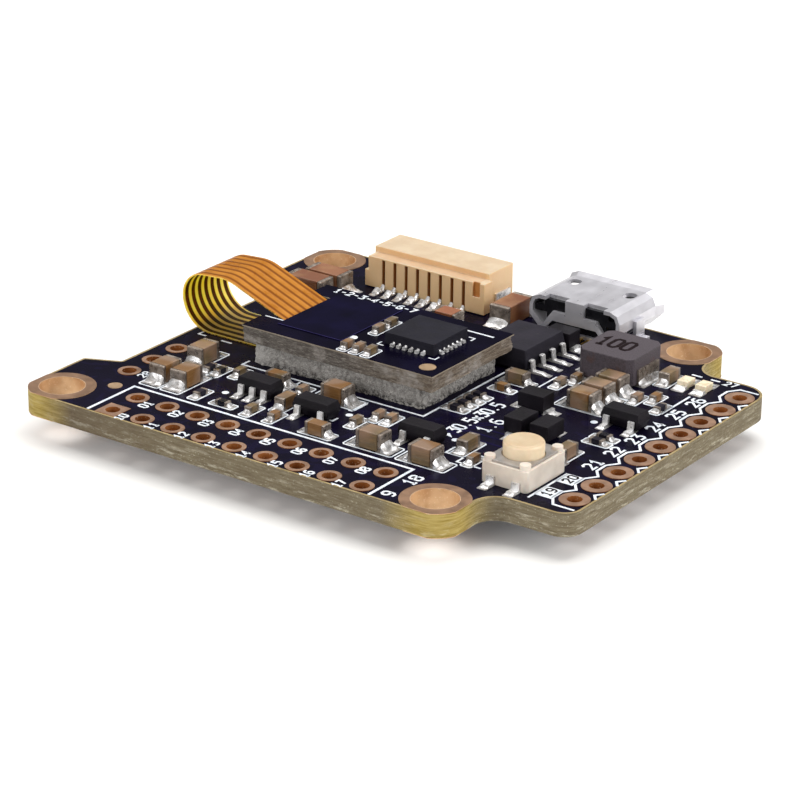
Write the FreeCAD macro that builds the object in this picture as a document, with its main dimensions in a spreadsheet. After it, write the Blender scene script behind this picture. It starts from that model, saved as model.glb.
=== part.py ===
"""Flight controller board for a multirotor: a 35 mm class circuit board with a soft-mounted gyro board.

Frame: origin at the centre of the 30.5 mm mounting-hole pattern on the board's underside, +Z up,
+X towards the tab with the row of side pads, +Y towards the USB port. Millimetres.
"""
import FreeCAD, Part
import math
import os
import Sketcher

DIMENSIONS = {
    # Main board.
    "board_thick": 1.6,
    "board_top": 1.6,
    "hole_pitch": 30.5,
    "half_side": 17.4,
    "tab_end": 23.4,
    "tab_half": 12.5,
    "recess_side": 14.95,
    "recess_half": 9.45,
    "recess_slant": 1.1,
    "corner_round": 1.8,
    "tab_round": 1.3,
    "tab_far_round": 1.9,
    "notch_round": 1.6,
    "slant_round": 0.25,
    # Plated holes.
    "copper": 0.04,
    "wall": 0.05,
    "mount_bore": 1.55,
    "mount_ring": 2.3,
    "mount_ring_edge": 2.12,
    "pin_pitch": 2.54,
    "header_x": 0.3,
    "header_near_y": -16.38,
    "header_bore": 0.5,
    "header_ring": 0.8,
    "square_pad": 1.7,
    "side_x": 22.2,
    "side_ring": 1.0,
    "power_x": -13.4,
    "power_y": -7.95,
    "fiducial": 0.5,
    "fiducial_x": -12.45,
    "fiducial_y": -13.1,
    # Micro USB socket.
    "usb_x": 7.4,
    "usb_wide": 7.4,
    "usb_low": 1.65,
    "usb_high": 2.55,
    "usb_rear": 12.7,
    "usb_straight": 17.5,
    "usb_front": 18.2,
    "usb_flare": 0.3,
    "usb_lift": 0.1,
    "usb_chamfer": 1.0,
    "usb_round": 0.8,
    "usb_skin": 0.28,
    "usb_vent_x": 2.3,
    "usb_vent_y": 16.3,
    "usb_vent_half": 0.45,
    "usb_vent_long": 1.1,
    "usb_vent_round": 0.4,
    "usb_cut_deep": 0.42,
    "usb_notch_out": 2.4,
    "usb_notch_deep": 0.6,
    "usb_leg_wide": 1.1,
    "usb_leg_high": 1.5,
    "usb_leg_foot": 0.45,
    "usb_leg_y": 15.1,
    "usb_tab_half": 0.75,
    "usb_bridge_half": 1.8,
    "usb_bridge_high": 1.55,
    "usb_bridge_low": 0.85,
    "usb_hook_out": 2.7,
    "usb_hook_in": 2.3,
    "usb_hook_low": 0.3,
    "usb_tongue_wide": 3.7,
    "usb_tongue_thick": 0.6,
    "usb_tongue_setback": 0.3,
    "usb_blade_setback": 0.4,
    "usb_tail_long": 0.9,
    "usb_block_deep": 1.5,
    "usb_pin_pitch": 0.65,
    "usb_pin_wide": 0.3,
    "usb_pin_thick": 0.15,
    # Eight-way wire socket.
    "plug_x": -5.25,
    "plug_wide": 10.0,
    "plug_low": 1.65,
    "plug_high": 2.75,
    "plug_rear": 13.45,
    "plug_front": 16.5,
    "plug_wall": 0.6,
    "plug_side_wall": 0.78,
    "plug_cavity_deep": 2.5,
    "plug_comb_out": 1.05,
    "plug_comb_high": 2.33,
    "plug_comb_left": 5.15,
    "plug_comb_right": 5.3,
    "plug_ledge": 1.25,
    "plug_step_wide": 0.3,
    "plug_recess_near": 0.4,
    "plug_recess_far": 1.0,
    "plug_recess_deep": 0.25,
    "plug_slot_half": 0.125,
    "plug_slot_high": 2.2,
    "plug_way_pitch": 1.0,
    "plug_key_x": 3.0,
    "plug_key_wide": 1.2,
    "plug_key_high": 0.45,
    "plug_pin_wide": 0.22,
    "plug_pin_thick": 0.2,
    "plug_pin_reach": 2.2,
    "plug_tail_reach": 1.15,
    "plug_riser_high": 0.9,
    "plug_tab_wide": 0.7,
    "plug_tab_deep": 1.8,
    "plug_tab_back": 1.4,
    "plug_tab_high": 1.1,
    "plug_tab_thick": 0.15,
    # Boot button.
    "button_x": 17.65,
    "button_y": -9.05,
    "button_wide": 3.5,
    "button_long": 4.5,
    "button_round": 0.3,
    "button_wall_top": 3.05,
    "button_floor": 0.4,
    "button_well": 1.55,
    "button_post": 0.36,
    "button_post_inset": 0.42,
    "button_post_top": 3.4,
    "button_post_gap": 0.02,
    "button_cover_inset": 0.2,
    "button_cover_thick": 0.15,
    "button_cover_bore": 1.4,
    "button_cap_round": 1.335,
    "button_cap_top": 4.1,
    "button_cap_edge": 0.15,
    "button_flange": 1.5,
    "button_flange_low": 2.68,
    "button_flange_high": 0.3,
    "button_nub": 0.45,
    "button_nub_gap": 0.01,
    "button_dome_round": 1.3,
    "button_dome_rise": 0.32,
    "button_dome_thick": 0.06,
    "button_dome_rim": 0.1,
    "button_shoulder_low": 0.27,
    "button_shoulder_in": 0.58,
    "button_shoulder_out": 0.65,
    "button_foot_x": 0.95,
    "button_foot_wide": 0.6,
    "button_foot_out": 0.7,
    "button_foot_thick": 0.15,
    "button_foot_rise": 0.6,
    # Power inductor.
    "coil_x": 13.45,
    "coil_y": 9.1,
    "coil_side": 4.3,
    "coil_corner": 0.45,
    "coil_high": 2.1,
    "coil_foot_gap": 0.1,
    "coil_foot_long": 0.9,
    "coil_end_thick": 0.15,
    "coil_end_wide": 2.6,
    "coil_end_high": 1.2,
    # Gull-wing chips: body, then lead reach from the chip centre.
    "soic_x": 6.4,
    "soic_y": 7.65,
    "soic_wide": 3.9,
    "soic_long": 4.9,
    "soic_high": 1.5,
    "soic_reach": 3.1,
    "soic_foot": 0.75,
    "soic_pitch": 1.27,
    "soic_count": 4,
    "soic_lead": 0.42,
    "sot_wide": 2.9,
    "sot_long": 1.5,
    "sot_high": 1.1,
    "sot_reach": 1.4,
    "sot_foot": 0.4,
    "sot_pitch": 0.95,
    "sot_lead": 0.42,
    "chip_gap": 0.1,
    "lead_thick": 0.17,
    "lead_exit": 0.42,
    "mould_draft": 0.13,
    # Soft-mounted gyro board.
    "foam_x": -0.65,
    "foam_y": 0.3,
    "foam_long": 14.5,
    "foam_wide": 9.3,
    "foam_thick": 1.5,
    "gyro_left": -8.4,
    "gyro_right": 7.45,
    "gyro_near": -4.55,
    "gyro_far": 5.15,
    "gyro_low": 3.1,
    "gyro_thick": 1.2,
    "gyro_notch_x": -6.5,
    "gyro_notch_near": -2.15,
    "gyro_notch_far": 3.1,
    "gyro_round": 0.3,
    "overlay_right": -1.1,
    "overlay_near": -3.0,
    "overlay_far": 4.1,
    "overlay_thick": 0.05,
    "imu_x": 3.45,
    "imu_y": 0.45,
    "imu_side": 4.0,
    "imu_high": 0.85,
    "imu_pin_pitch": 0.5,
    "imu_pin_wide": 0.24,
    "imu_pin_out": 0.28,
    "imu_pin_high": 0.2,
    # Flexible ribbon: a side profile of straight runs and tangent arcs, from board to gyro board.
    "ribbon_near": -2.0,
    "ribbon_far": 2.9,
    "ribbon_thick": 0.12,
    "ribbon_lift": 0.02,
    "ribbon_tail": -8.7,
    "ribbon_rise_x": -13.2,
    "ribbon_rise_round": 2.4,
    "ribbon_crown_round": 1.85,
    "ribbon_crown_slope": 4.0,
    "ribbon_top_run": 1.5,
    "ribbon_fall_round": 3.2,
    "ribbon_fall_slope": 21.0,
    "ribbon_end_gap": 0.04,
    # Two-terminal packages: length, width, height and the length of each metal end.
    "s0402_long": 1.0,
    "s0402_wide": 0.5,
    "s0402_high": 0.5,
    "s0402_end": 0.2,
    "s0603_long": 1.6,
    "s0603_wide": 0.8,
    "s0603_high": 0.85,
    "s0603_end": 0.24,
    "s0805_long": 2.0,
    "s0805_wide": 1.3,
    "s0805_high": 1.25,
    "s0805_end": 0.28,
    "s1206_long": 3.2,
    "s1206_wide": 1.6,
    "s1206_high": 1.5,
    "s1206_end": 0.36,
    "resistor_long": 1.0,
    "resistor_wide": 0.5,
    "resistor_high": 0.35,
    "resistor_end": 0.22,
    "diode_long": 2.5,
    "diode_wide": 1.4,
    "diode_high": 1.05,
    "diode_end": 0.4,
    "diode_end_wide": 0.8,
    "diode_end_high": 0.3,
    "diode_overhang": 0.15,
    "led_long": 1.6,
    "led_wide": 0.8,
    "led_base_high": 0.2,
    "led_lens_long": 1.1,
    "led_lens_high": 0.3,
    "led_end": 0.3,
    # Underside.
    "mcu_x": -1.5,
    "mcu_y": 0.5,
    "mcu_wide": 10.0,
    "mcu_high": 1.5,
    "mcu_reach": 6.0,
    "mcu_foot": 0.6,
    "mcu_pitch": 0.5,
    "mcu_count": 16,
    "mcu_lead": 0.22,
    "video_x": 12.2,
    "video_y": 0.0,
    "video_wide": 4.4,
    "video_long": 9.7,
    "video_high": 1.1,
    "video_reach": 3.2,
    "video_foot": 0.6,
    "video_pitch": 0.65,
    "video_count": 14,
    "video_lead": 0.25,
    "flash_x": 0.2,
    "flash_y": 11.2,
    "crystal_x": -11.0,
    "crystal_y": 1.0,
    "crystal_wide": 2.5,
    "crystal_long": 3.2,
    "crystal_base": 0.35,
    "crystal_lid": 0.4,
    "crystal_rim": 0.2,
    "baro_x": -10.5,
    "baro_y": 7.5,
    "baro_wide": 2.0,
    "baro_long": 2.5,
    "baro_base": 0.3,
    "baro_lid": 0.6,
    "baro_rim": 0.1,
    "baro_vent": 0.2,
    "baro_vent_x": 0.4,
    "baro_vent_y": 0.6,
}

# Centres of the parts that lie along X and of those that lie along Y, package by package.
LAYOUT = {
    "s0402_top": {
        "along_x": [(8.7, 1.9)],
        "along_y": [(-1.7, -6.5), (-2.4, -11.1), (-0.5, -11.1), (4.9, -6.9), (5.9, -6.9), (4.3, -8.6),
                    (-7.0, -6.5), (13.9, -9.1), (11.3, 5.0), (11.8, 6.3), (17.9, 6.5),
                    (16.9, 5.75)],
    },
    "s0603_top": {
        "along_x": [(3.3, -11.45), (-4.0, -6.2), (8.8, 3.6)],
        "along_y": [(-1.15, -9.0), (12.45, -7.6), (18.2, -4.9), (16.85, 9.95)],
    },
    "s0805_top": {
        "along_x": [(14.65, 2.7), (14.65, 4.45), (14.65, 6.2), (1.0, -6.2), (7.4, -10.95), (11.5, -10.95),
                    (-0.9, 9.3)],
        "along_y": [(-10.7, -9.9), (-8.9, -9.9), (-10.6, -6.0)],
    },
    "s1206_top": {
        "along_x": [(-12.1, 10.35), (-12.5, 8.5)],
        "along_y": [(1.9, 13.1)],
    },
    "resistor_top": {
        "along_x": [(8.1, -2.75), (8.1, -1.85), (8.1, -0.95), (8.1, -0.05), (18.6, -1.0), (18.6, -1.9),
                    (-4.6, -11.35)],
        "along_y": [(-9.2, -7.0), (-8.3, -7.0), (-6.9, -10.9), (18.95, 5.3)],
    },
    "diode_top": {
        "along_x": [(12.4, 0.35), (7.65, 10.9)],
        "along_y": [(13.7, -3.4), (15.7, -3.4)],
    },
    "led_top": {
        "along_x": [],
        "along_y": [(18.17, 9.95), (19.55, 9.97)],
    },
    "s0402_gyro": {
        "along_x": [],
        "along_y": [(-0.17, -3.55), (0.8, -3.55), (1.76, -3.55), (-0.17, 1.45), (-0.17, 0.04)],
    },
    "s0402_under": {
        "along_x": [(6.0, -6.5), (6.0, 6.9), (-9.5, -6.8), (-10.2, 4.4), (3.5, -8.0)],
        "along_y": [(-7.4, -8.2), (-5.2, -8.2), (1.2, -8.2), (-11.0, -2.4), (17.4, 2.0), (17.4, -2.0)],
    },
}

# Three-lead transistors by centre; the six-lead driver shares their body.
TRANSISTORS = [(1.35, -9.0), (9.35, -8.3), (18.45, 1.75)]
DRIVER = (-3.8, -8.4)

# How many contacts, ways, and pads on each side.
USB_CONTACTS = 5
PLUG_WAYS = 8
IMU_SIDE_PADS = 6

doc = FreeCAD.newDocument("flight_controller")
dims = doc.addObject("Spreadsheet::Sheet", "dims")
layout = doc.addObject("Spreadsheet::Sheet", "layout")
nodes = []


def fill_sheet(sheet, cells):
    """Write each value as text with its alias beside it."""
    for row, (alias, value) in enumerate(cells.items(), start=1):
        sheet.set(f"A{row}", alias)
        sheet.set(f"B{row}", str(value))
        sheet.setAlias(f"B{row}", alias)


def layout_cells():
    cells = {}
    for package, ways in LAYOUT.items():
        for way, centres in ways.items():
            for number, (x, y) in enumerate(centres, start=1):
                cells[f"{package}_{way}_{number}_x"] = x
                cells[f"{package}_{way}_{number}_y"] = y
    for number, (x, y) in enumerate(TRANSISTORS, start=1):
        cells[f"transistor_{number}_x"] = x
        cells[f"transistor_{number}_y"] = y
    cells["driver_x"] = DRIVER[0]
    cells["driver_y"] = DRIVER[1]
    return cells


def value(expression):
    """The number an expression over the sheets comes to."""
    return float(dims.evalExpression(expression))


def vector(x=0.0, y=0.0, z=0.0):
    return FreeCAD.Vector(x, y, z)


# ---------------------------------------------------------------- building blocks

def register(thing, label):
    """Name a finished sub-part; its label names its file."""
    thing.Label = label
    nodes.append(thing)
    return thing


def group(label, members):
    compound = doc.addObject("Part::Compound", label)
    compound.Links = members
    return register(compound, label)


def box(name, size, centre, low):
    """A box from its three sizes, the centre of its footprint and the height of its underside."""
    block = doc.addObject("Part::Box", name)
    for prop, size_text in zip(("Length", "Width", "Height"), size):
        block.setExpression(prop, size_text)
    block.setExpression("Placement.Base.x", f"({centre[0]}) - ({size[0]}) / 2")
    block.setExpression("Placement.Base.y", f"({centre[1]}) - ({size[1]}) / 2")
    block.setExpression("Placement.Base.z", low)
    return block


def wedge(name, base, top, high, centre, low):
    """A block whose footprint changes evenly from its base size to its top size."""
    block = doc.addObject("Part::Wedge", name)
    for axis, start, end in (("X", base[0], top[0]), ("Z", base[1], top[1])):
        block.setExpression(f"{axis}min", f"-({start}) / 2")
        block.setExpression(f"{axis}max", f"({start}) / 2")
        block.setExpression(f"{axis}2min", f"-({end}) / 2")
        block.setExpression(f"{axis}2max", f"({end}) / 2")
    block.Ymin = 0
    block.setExpression("Ymax", high)
    block.Placement = FreeCAD.Placement(vector(), FreeCAD.Rotation(vector(1, 0, 0), 90))
    block.setExpression("Placement.Base.x", centre[0])
    block.setExpression("Placement.Base.y", centre[1])
    block.setExpression("Placement.Base.z", low)
    return block


def moulded(name, size, centre, low, below):
    """A moulded package: an upright band where its leads leave, with sides that lean in above and below."""
    plan = (size[0], size[1])
    face = (f"{size[0]} - 2 * dims.mould_draft", f"{size[1]} - 2 * dims.mould_draft")
    band_low = f"{low} + {below}"
    band_high = f"{band_low} + dims.lead_thick"
    parts = [wedge(f"{name}_lower", face, plan, below, centre, low),
             box(f"{name}_band", (plan[0], plan[1], "dims.lead_thick"), centre, band_low),
             wedge(f"{name}_upper", plan, face, f"{size[2]} - {below} - dims.lead_thick", centre, band_high)]
    return fuse(name, parts)


def cylinder(name, radius, height, centre, low):
    post = doc.addObject("Part::Cylinder", name)
    post.setExpression("Radius", radius)
    post.setExpression("Height", height)
    post.setExpression("Placement.Base.x", centre[0])
    post.setExpression("Placement.Base.y", centre[1])
    post.setExpression("Placement.Base.z", low)
    return post


def fuse(name, members):
    joined = doc.addObject("Part::MultiFuse", name)
    joined.Shapes = members
    return joined


def cut(name, base, tool):
    result = doc.addObject("Part::Cut", name)
    result.Base = base
    result.Tool = tool
    return result


def make_body(name):
    return doc.addObject("PartDesign::Body", name)


def origin_part(body, role):
    for feature in body.Origin.OriginFeatures:
        if feature.Role == role:
            return feature
    raise ValueError(role)


def sketch_on(body, name, role, offset="0"):
    """An empty sketch on one of the body's origin planes, moved along its normal."""
    sketch = body.newObject("Sketcher::SketchObject", name)
    sketch.AttachmentSupport = [(origin_part(body, role), "")]
    sketch.MapMode = "FlatFace"
    sketch.setExpression("AttachmentOffset.Base.z", offset)
    return sketch


def fix_point(sketch, geometry, position, x, y):
    """Tie a point of the sketch to two expressions, as distances from the origin."""
    for kind, axis_line, text in (("DistanceX", -2, x), ("DistanceY", -1, y)):
        number = value(text)
        if abs(number) < 1e-9:
            sketch.addConstraint(Sketcher.Constraint("PointOnObject", geometry, position, axis_line))
        else:
            index = sketch.addConstraint(Sketcher.Constraint(kind, -1, 1, geometry, position, number))
            sketch.setExpression(f"Constraints[{index}]", text)


def outline(body, name, role, corners, offset="0"):
    """A closed polygon sketch whose corners are pairs of expressions."""
    sketch = sketch_on(body, name, role, offset)
    places = [vector(value(x), value(y)) for x, y in corners]
    for number, start in enumerate(places):
        end = places[(number + 1) % len(places)]
        sketch.addGeometry(Part.LineSegment(start, end), False)
    for number in range(len(places)):
        following = (number + 1) % len(places)
        sketch.addConstraint(Sketcher.Constraint("Coincident", number, 2, following, 1))
    for number, (x, y) in enumerate(corners):
        fix_point(sketch, number, 1, x, y)
    return sketch


def circles(body, name, role, radius, centres, offset="0"):
    """A sketch of equal circles whose centres are pairs of expressions."""
    sketch = sketch_on(body, name, role, offset)
    for x, y in centres:
        circle = Part.Circle(vector(value(x), value(y)), vector(0, 0, 1), value(radius))
        index = sketch.addGeometry(circle, False)
        fix_point(sketch, index, 3, x, y)
        size = sketch.addConstraint(Sketcher.Constraint("Radius", index, value(radius)))
        sketch.setExpression(f"Constraints[{size}]", radius)
    return sketch


def extrude(body, kind, name, sketch, length, symmetric=False, backwards=False):
    """A pad or a pocket; a pocket must take material away."""
    before = body.Shape.Volume if body.Tip else 0.0
    feature = body.newObject(f"PartDesign::{kind}", name)
    feature.Profile = sketch
    feature.setExpression("Length", length)
    if symmetric:
        feature.SideType = "Symmetric"
    feature.Reversed = backwards
    doc.recompute()
    if kind == "Pocket" and body.Shape.Volume >= before:
        raise ValueError(f"{name} cuts nothing")
    return feature


def upright_edges(shape, places):
    """Names of the vertical edges that stand on the given (x, y) points."""
    names = []
    for number, edge in enumerate(shape.Edges, start=1):
        low, high = edge.Vertexes[0].Point, edge.Vertexes[-1].Point
        if abs(low.z - high.z) < 1e-6:
            continue
        if any(math.hypot(low.x - x, low.y - y) < 1e-4 for x, y in places):
            names.append(f"Edge{number}")
    return names


def round_corners(body, name, radius, corners):
    """Fillet the upright edges at corners given as pairs of expressions."""
    doc.recompute()
    places = [(value(x), value(y)) for x, y in corners]
    base = body.Tip
    fillet = body.newObject("PartDesign::Fillet", name)
    fillet.Base = (base, upright_edges(base.Shape, places))
    fillet.setExpression("Radius", radius)
    return fillet


def row(body, name, feature, axis, count, pitch):
    """A line of copies of one feature, and the body's new tip."""
    pattern = body.newObject("PartDesign::LinearPattern", name)
    pattern.Originals = [feature]
    pattern.Direction = (origin_part(body, axis), [""])
    pattern.Mode = "Spacing"
    pattern.setExpression("Occurrences", count)
    pattern.setExpression("Offset", pitch)
    body.Tip = pattern
    return pattern


# ---------------------------------------------------------------- main board

def hole_places():
    """Centres of every plated hole, by group, as pairs of expressions."""
    mounts = [(f"{sx} * dims.hole_pitch / 2", f"{sy} * dims.hole_pitch / 2")
              for sx in (-1, 1) for sy in (-1, 1)]
    header = []
    for line in range(2):
        for step in range(-4, 5):
            header.append((f"dims.header_x + {step} * dims.pin_pitch",
                           f"dims.header_near_y + {line} * dims.pin_pitch"))
    side = [("dims.side_x", f"{step} * dims.pin_pitch") for step in range(-4, 5)]
    power = [("dims.power_x", f"dims.power_y + {step} * dims.pin_pitch") for step in (-1, 0, 1)]
    return mounts, header, side, power


MOUNTS, HEADER, SIDE, POWER = hole_places()


def main_board():
    body = make_body("main_pcb")
    ears = [("-dims.half_side", "-dims.half_side"), ("dims.half_side", "-dims.half_side"),
            ("dims.half_side", "dims.half_side"), ("-dims.half_side", "dims.half_side")]
    notches = [("dims.half_side", "-dims.tab_half"), ("dims.half_side", "dims.tab_half")]
    tab = [("dims.tab_end", "-dims.tab_half"), ("dims.tab_end", "dims.tab_half")]
    slants = [("-dims.half_side", "dims.recess_half + dims.recess_slant"),
              ("-dims.recess_side", "dims.recess_half"), ("-dims.recess_side", "-dims.recess_half"),
              ("-dims.half_side", "-(dims.recess_half + dims.recess_slant)")]
    corners = [ears[0], ears[1], notches[0], tab[0], tab[1], notches[1], ears[2], ears[3]] + slants
    plan = outline(body, "board_outline", "XY_Plane", corners)
    extrude(body, "Pad", "board_plate", plan, "dims.board_thick")
    round_corners(body, "ear_rounds", "dims.corner_round", ears)
    round_corners(body, "tab_near_round", "dims.tab_round", tab[:1])
    round_corners(body, "tab_far_round", "dims.tab_far_round", tab[1:])
    round_corners(body, "notch_rounds", "dims.notch_round", notches)
    round_corners(body, "slant_rounds", "dims.slant_round", slants)
    drills = (("mount", "dims.mount_bore + dims.wall", MOUNTS),
              ("pin", "dims.header_bore + dims.wall", HEADER + SIDE + POWER))
    for name, radius, centres in drills:
        sketch = circles(body, f"{name}_drills", "XY_Plane", radius, centres)
        extrude(body, "Pocket", f"{name}_holes", sketch, "dims.board_thick", backwards=True)
    register(body, "main_pcb")


def eyelet(name, centre, bore, flanges):
    """A plated hole: a thin barrel through the board with a flange of copper on each face."""
    tall = "dims.board_thick + 2 * dims.copper"
    barrel = cylinder(f"{name}_barrel", f"{bore} + dims.wall", tall, centre, "-dims.copper")
    drill = cylinder(f"{name}_bore", bore, tall, centre, "-dims.copper")
    return cut(name, fuse(f"{name}_metal", [barrel] + flanges), drill)


def flange_heights():
    return (("under", "-dims.copper"), ("over", "dims.board_top"))


def round_eyelet(name, centre, bore, ring):
    flanges = [cylinder(f"{name}_{side}", ring, "dims.copper", centre, low) for side, low in flange_heights()]
    return eyelet(name, centre, bore, flanges)


def square_eyelet(name, centre, bore, side_length):
    size = (side_length, side_length, "dims.copper")
    flanges = [box(f"{name}_{side}", size, centre, low) for side, low in flange_heights()]
    return eyelet(name, centre, bore, flanges)


def mount_eyelet(name, centre, sign_x, sign_y):
    """A mounting hole's ring stops short of the board's two nearest edges."""
    reach = "(dims.mount_ring + dims.mount_ring_edge)"
    shift = "(dims.mount_ring_edge - dims.mount_ring) / 2"
    middle = (f"{centre[0]} + {sign_x} * {shift}", f"{centre[1]} + {sign_y} * {shift}")
    flanges = []
    for side, low in flange_heights():
        disc = cylinder(f"{name}_{side}_disc", "dims.mount_ring", "dims.copper", centre, low)
        window = box(f"{name}_{side}_window", (reach, reach, "dims.copper"), middle, low)
        trimmed = doc.addObject("Part::Common", f"{name}_{side}")
        trimmed.Base = disc
        trimmed.Tool = window
        flanges.append(trimmed)
    return eyelet(name, centre, "dims.mount_bore", flanges)


def plated_holes():
    signs = [(sx, sy) for sx in (-1, 1) for sy in (-1, 1)]
    rings = []
    for number, (centre, (sx, sy)) in enumerate(zip(MOUNTS, signs), start=1):
        rings.append(mount_eyelet(f"mount_ring_{number}", centre, sx, sy))
    group("mounting_hole_plating", rings)
    pads = [square_eyelet("header_pad_1", HEADER[0], "dims.header_bore", "dims.square_pad")]
    for number, centre in enumerate(HEADER[1:], start=2):
        pads.append(round_eyelet(f"header_pad_{number}", centre, "dims.header_bore", "dims.header_ring"))
    group("signal_header_plating", pads)
    for label, centres, ring in (("side_row_plating", SIDE, "dims.side_ring"),
                                 ("power_hole_plating", POWER, "dims.header_ring")):
        members = [round_eyelet(f"{label}_{number}", centre, "dims.header_bore", ring)
                   for number, centre in enumerate(centres, start=1)]
        group(label, members)
    dot = cylinder("fiducial", "dims.fiducial", "dims.copper", ("dims.fiducial_x", "dims.fiducial_y"),
                   "dims.board_top")
    register(dot, "fiducial_dot")


# ---------------------------------------------------------------- USB socket

def usb_profile(body, name, grow, lift, offset):
    """The shell's section across the port: rounded at the top, with its two lower corners cut off."""
    wide = f"(dims.usb_wide / 2 + {grow})"
    low = f"(dims.usb_low - {lift})"
    high = f"(dims.usb_low + dims.usb_high + {lift})"
    slant = "dims.usb_chamfer"
    bend = f"(dims.usb_round + {lift})"
    nip = f"{bend} * (1 - sqrt(0.5))"
    corners = [(f"-{wide} + {slant}", low), (f"{wide} - {slant}", low), (wide, f"{low} + {slant}"),
               (wide, f"{high} - {bend}"), (f"{wide} - {nip}", f"{high} - {nip}"), (f"{wide} - {bend}", high),
               (f"-{wide} + {bend}", high), (f"-{wide} + {nip}", f"{high} - {nip}"),
               (f"-{wide}", f"{high} - {bend}"), (f"-{wide}", f"{low} + {slant}")]
    return outline(body, name, "XZ_Plane", [(f"dims.usb_x + {x}", z) for x, z in corners], offset)


def usb_loft(body, kind, name, grow):
    """The flared mouth, between the straight stretch and the front rim."""
    start = usb_profile(body, f"{name}_start", grow, grow, "-dims.usb_straight")
    rim = usb_profile(body, f"{name}_rim", f"{grow} + dims.usb_flare", f"{grow} + dims.usb_lift",
                      "-dims.usb_front")
    feature = body.newObject(f"PartDesign::{kind}", name)
    feature.Profile = start
    feature.Sections = [rim]
    return feature


def usb_shell():
    """A folded steel sleeve, open at the back apart from a tab and a bridge over the contacts."""
    body = make_body("usb_shell")
    skin = "(-dims.usb_skin)"
    outer = usb_profile(body, "shell_outer", "0", "0", "-dims.usb_rear")
    extrude(body, "Pad", "shell_tube", outer, "dims.usb_straight - dims.usb_rear", backwards=True)
    usb_loft(body, "AdditiveLoft", "mouth", "0")
    inner = usb_profile(body, "shell_inner", skin, skin, "-dims.usb_rear")
    extrude(body, "Pocket", "shell_hollow", inner, "dims.usb_straight - dims.usb_rear")
    usb_loft(body, "SubtractiveLoft", "mouth_hollow", skin)
    for side, name in ((-1, "left"), (1, "right")):
        usb_vent(body, side, f"{name}_vent")
    for side, name in ((-1, "left"), (1, "right")):
        usb_notch(body, side, f"{name}_notch")
    for side, name in ((-1, "left"), (1, "right")):
        usb_leg(body, side, f"{name}_leg")
    back = usb_back(body)
    extrude(body, "Pad", "back_plate", back, "dims.usb_skin", backwards=True)
    register(body, "usb_shell")


def usb_vent(body, side, name):
    """A rounded spring hole through the top of the sleeve."""
    x = f"dims.usb_x + {side} * dims.usb_vent_x"
    left, right = f"{x} - dims.usb_vent_half", f"{x} + dims.usb_vent_half"
    near, far = "dims.usb_vent_y - dims.usb_vent_long / 2", "dims.usb_vent_y + dims.usb_vent_long / 2"
    corners = [(left, near), (right, near), (right, far), (left, far)]
    slot = outline(body, f"{name}_outline", "XY_Plane", corners, "dims.usb_low + dims.usb_high")
    extrude(body, "Pocket", name, slot, "dims.usb_cut_deep")
    round_corners(body, f"{name}_rounds", "dims.usb_vent_round", corners)


def usb_notch(body, side, name):
    """A cut in the rear edge of the sleeve's top, beside the centre tab."""
    inner = f"dims.usb_x + {side} * dims.usb_tab_half"
    outer = f"dims.usb_x + {side} * dims.usb_notch_out"
    rear, deep = "dims.usb_rear", "dims.usb_rear + dims.usb_notch_deep"
    corners = [(inner, rear), (outer, rear), (outer, deep), (inner, deep)]
    plan = outline(body, f"{name}_outline", "XY_Plane", corners, "dims.usb_low + dims.usb_high")
    extrude(body, "Pocket", name, plan, "dims.usb_cut_deep")


def usb_back(body):
    """The back of the sleeve: a centre tab from the top, widening to a bridge with two slanted hooks."""
    top, step = "dims.usb_high", "dims.usb_bridge_high"
    bottom, hook = "dims.usb_bridge_low", "dims.usb_hook_low"
    half = [("dims.usb_tab_half", top), ("dims.usb_tab_half", step), ("dims.usb_bridge_half", step),
            ("dims.usb_hook_out", hook), ("dims.usb_hook_in", hook), ("dims.usb_bridge_half", bottom)]
    ring = half + [(f"-{x}", level) for x, level in reversed(half)]
    corners = [(f"dims.usb_x + {x}", f"dims.usb_low + {level}") for x, level in ring]
    return outline(body, "back_outline", "XZ_Plane", corners, "-dims.usb_rear")


def usb_leg(body, side, name):
    """An L-shaped tab from the sleeve's side down to the board."""
    wall = f"dims.usb_x + {side} * dims.usb_wide / 2"
    out = f"{wall} + {side} * dims.usb_skin"
    toe = f"{out} + {side} * dims.usb_leg_foot"
    knee, ankle = "dims.usb_low + dims.usb_leg_high", "dims.board_top + dims.usb_skin"
    corners = [(wall, knee), (out, knee), (out, ankle), (toe, ankle), (toe, "dims.board_top"),
               (wall, "dims.board_top")]
    sketch = outline(body, f"{name}_section", "XZ_Plane", corners, "-dims.usb_leg_y")
    extrude(body, "Pad", name, sketch, "dims.usb_leg_wide", symmetric=True)


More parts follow.
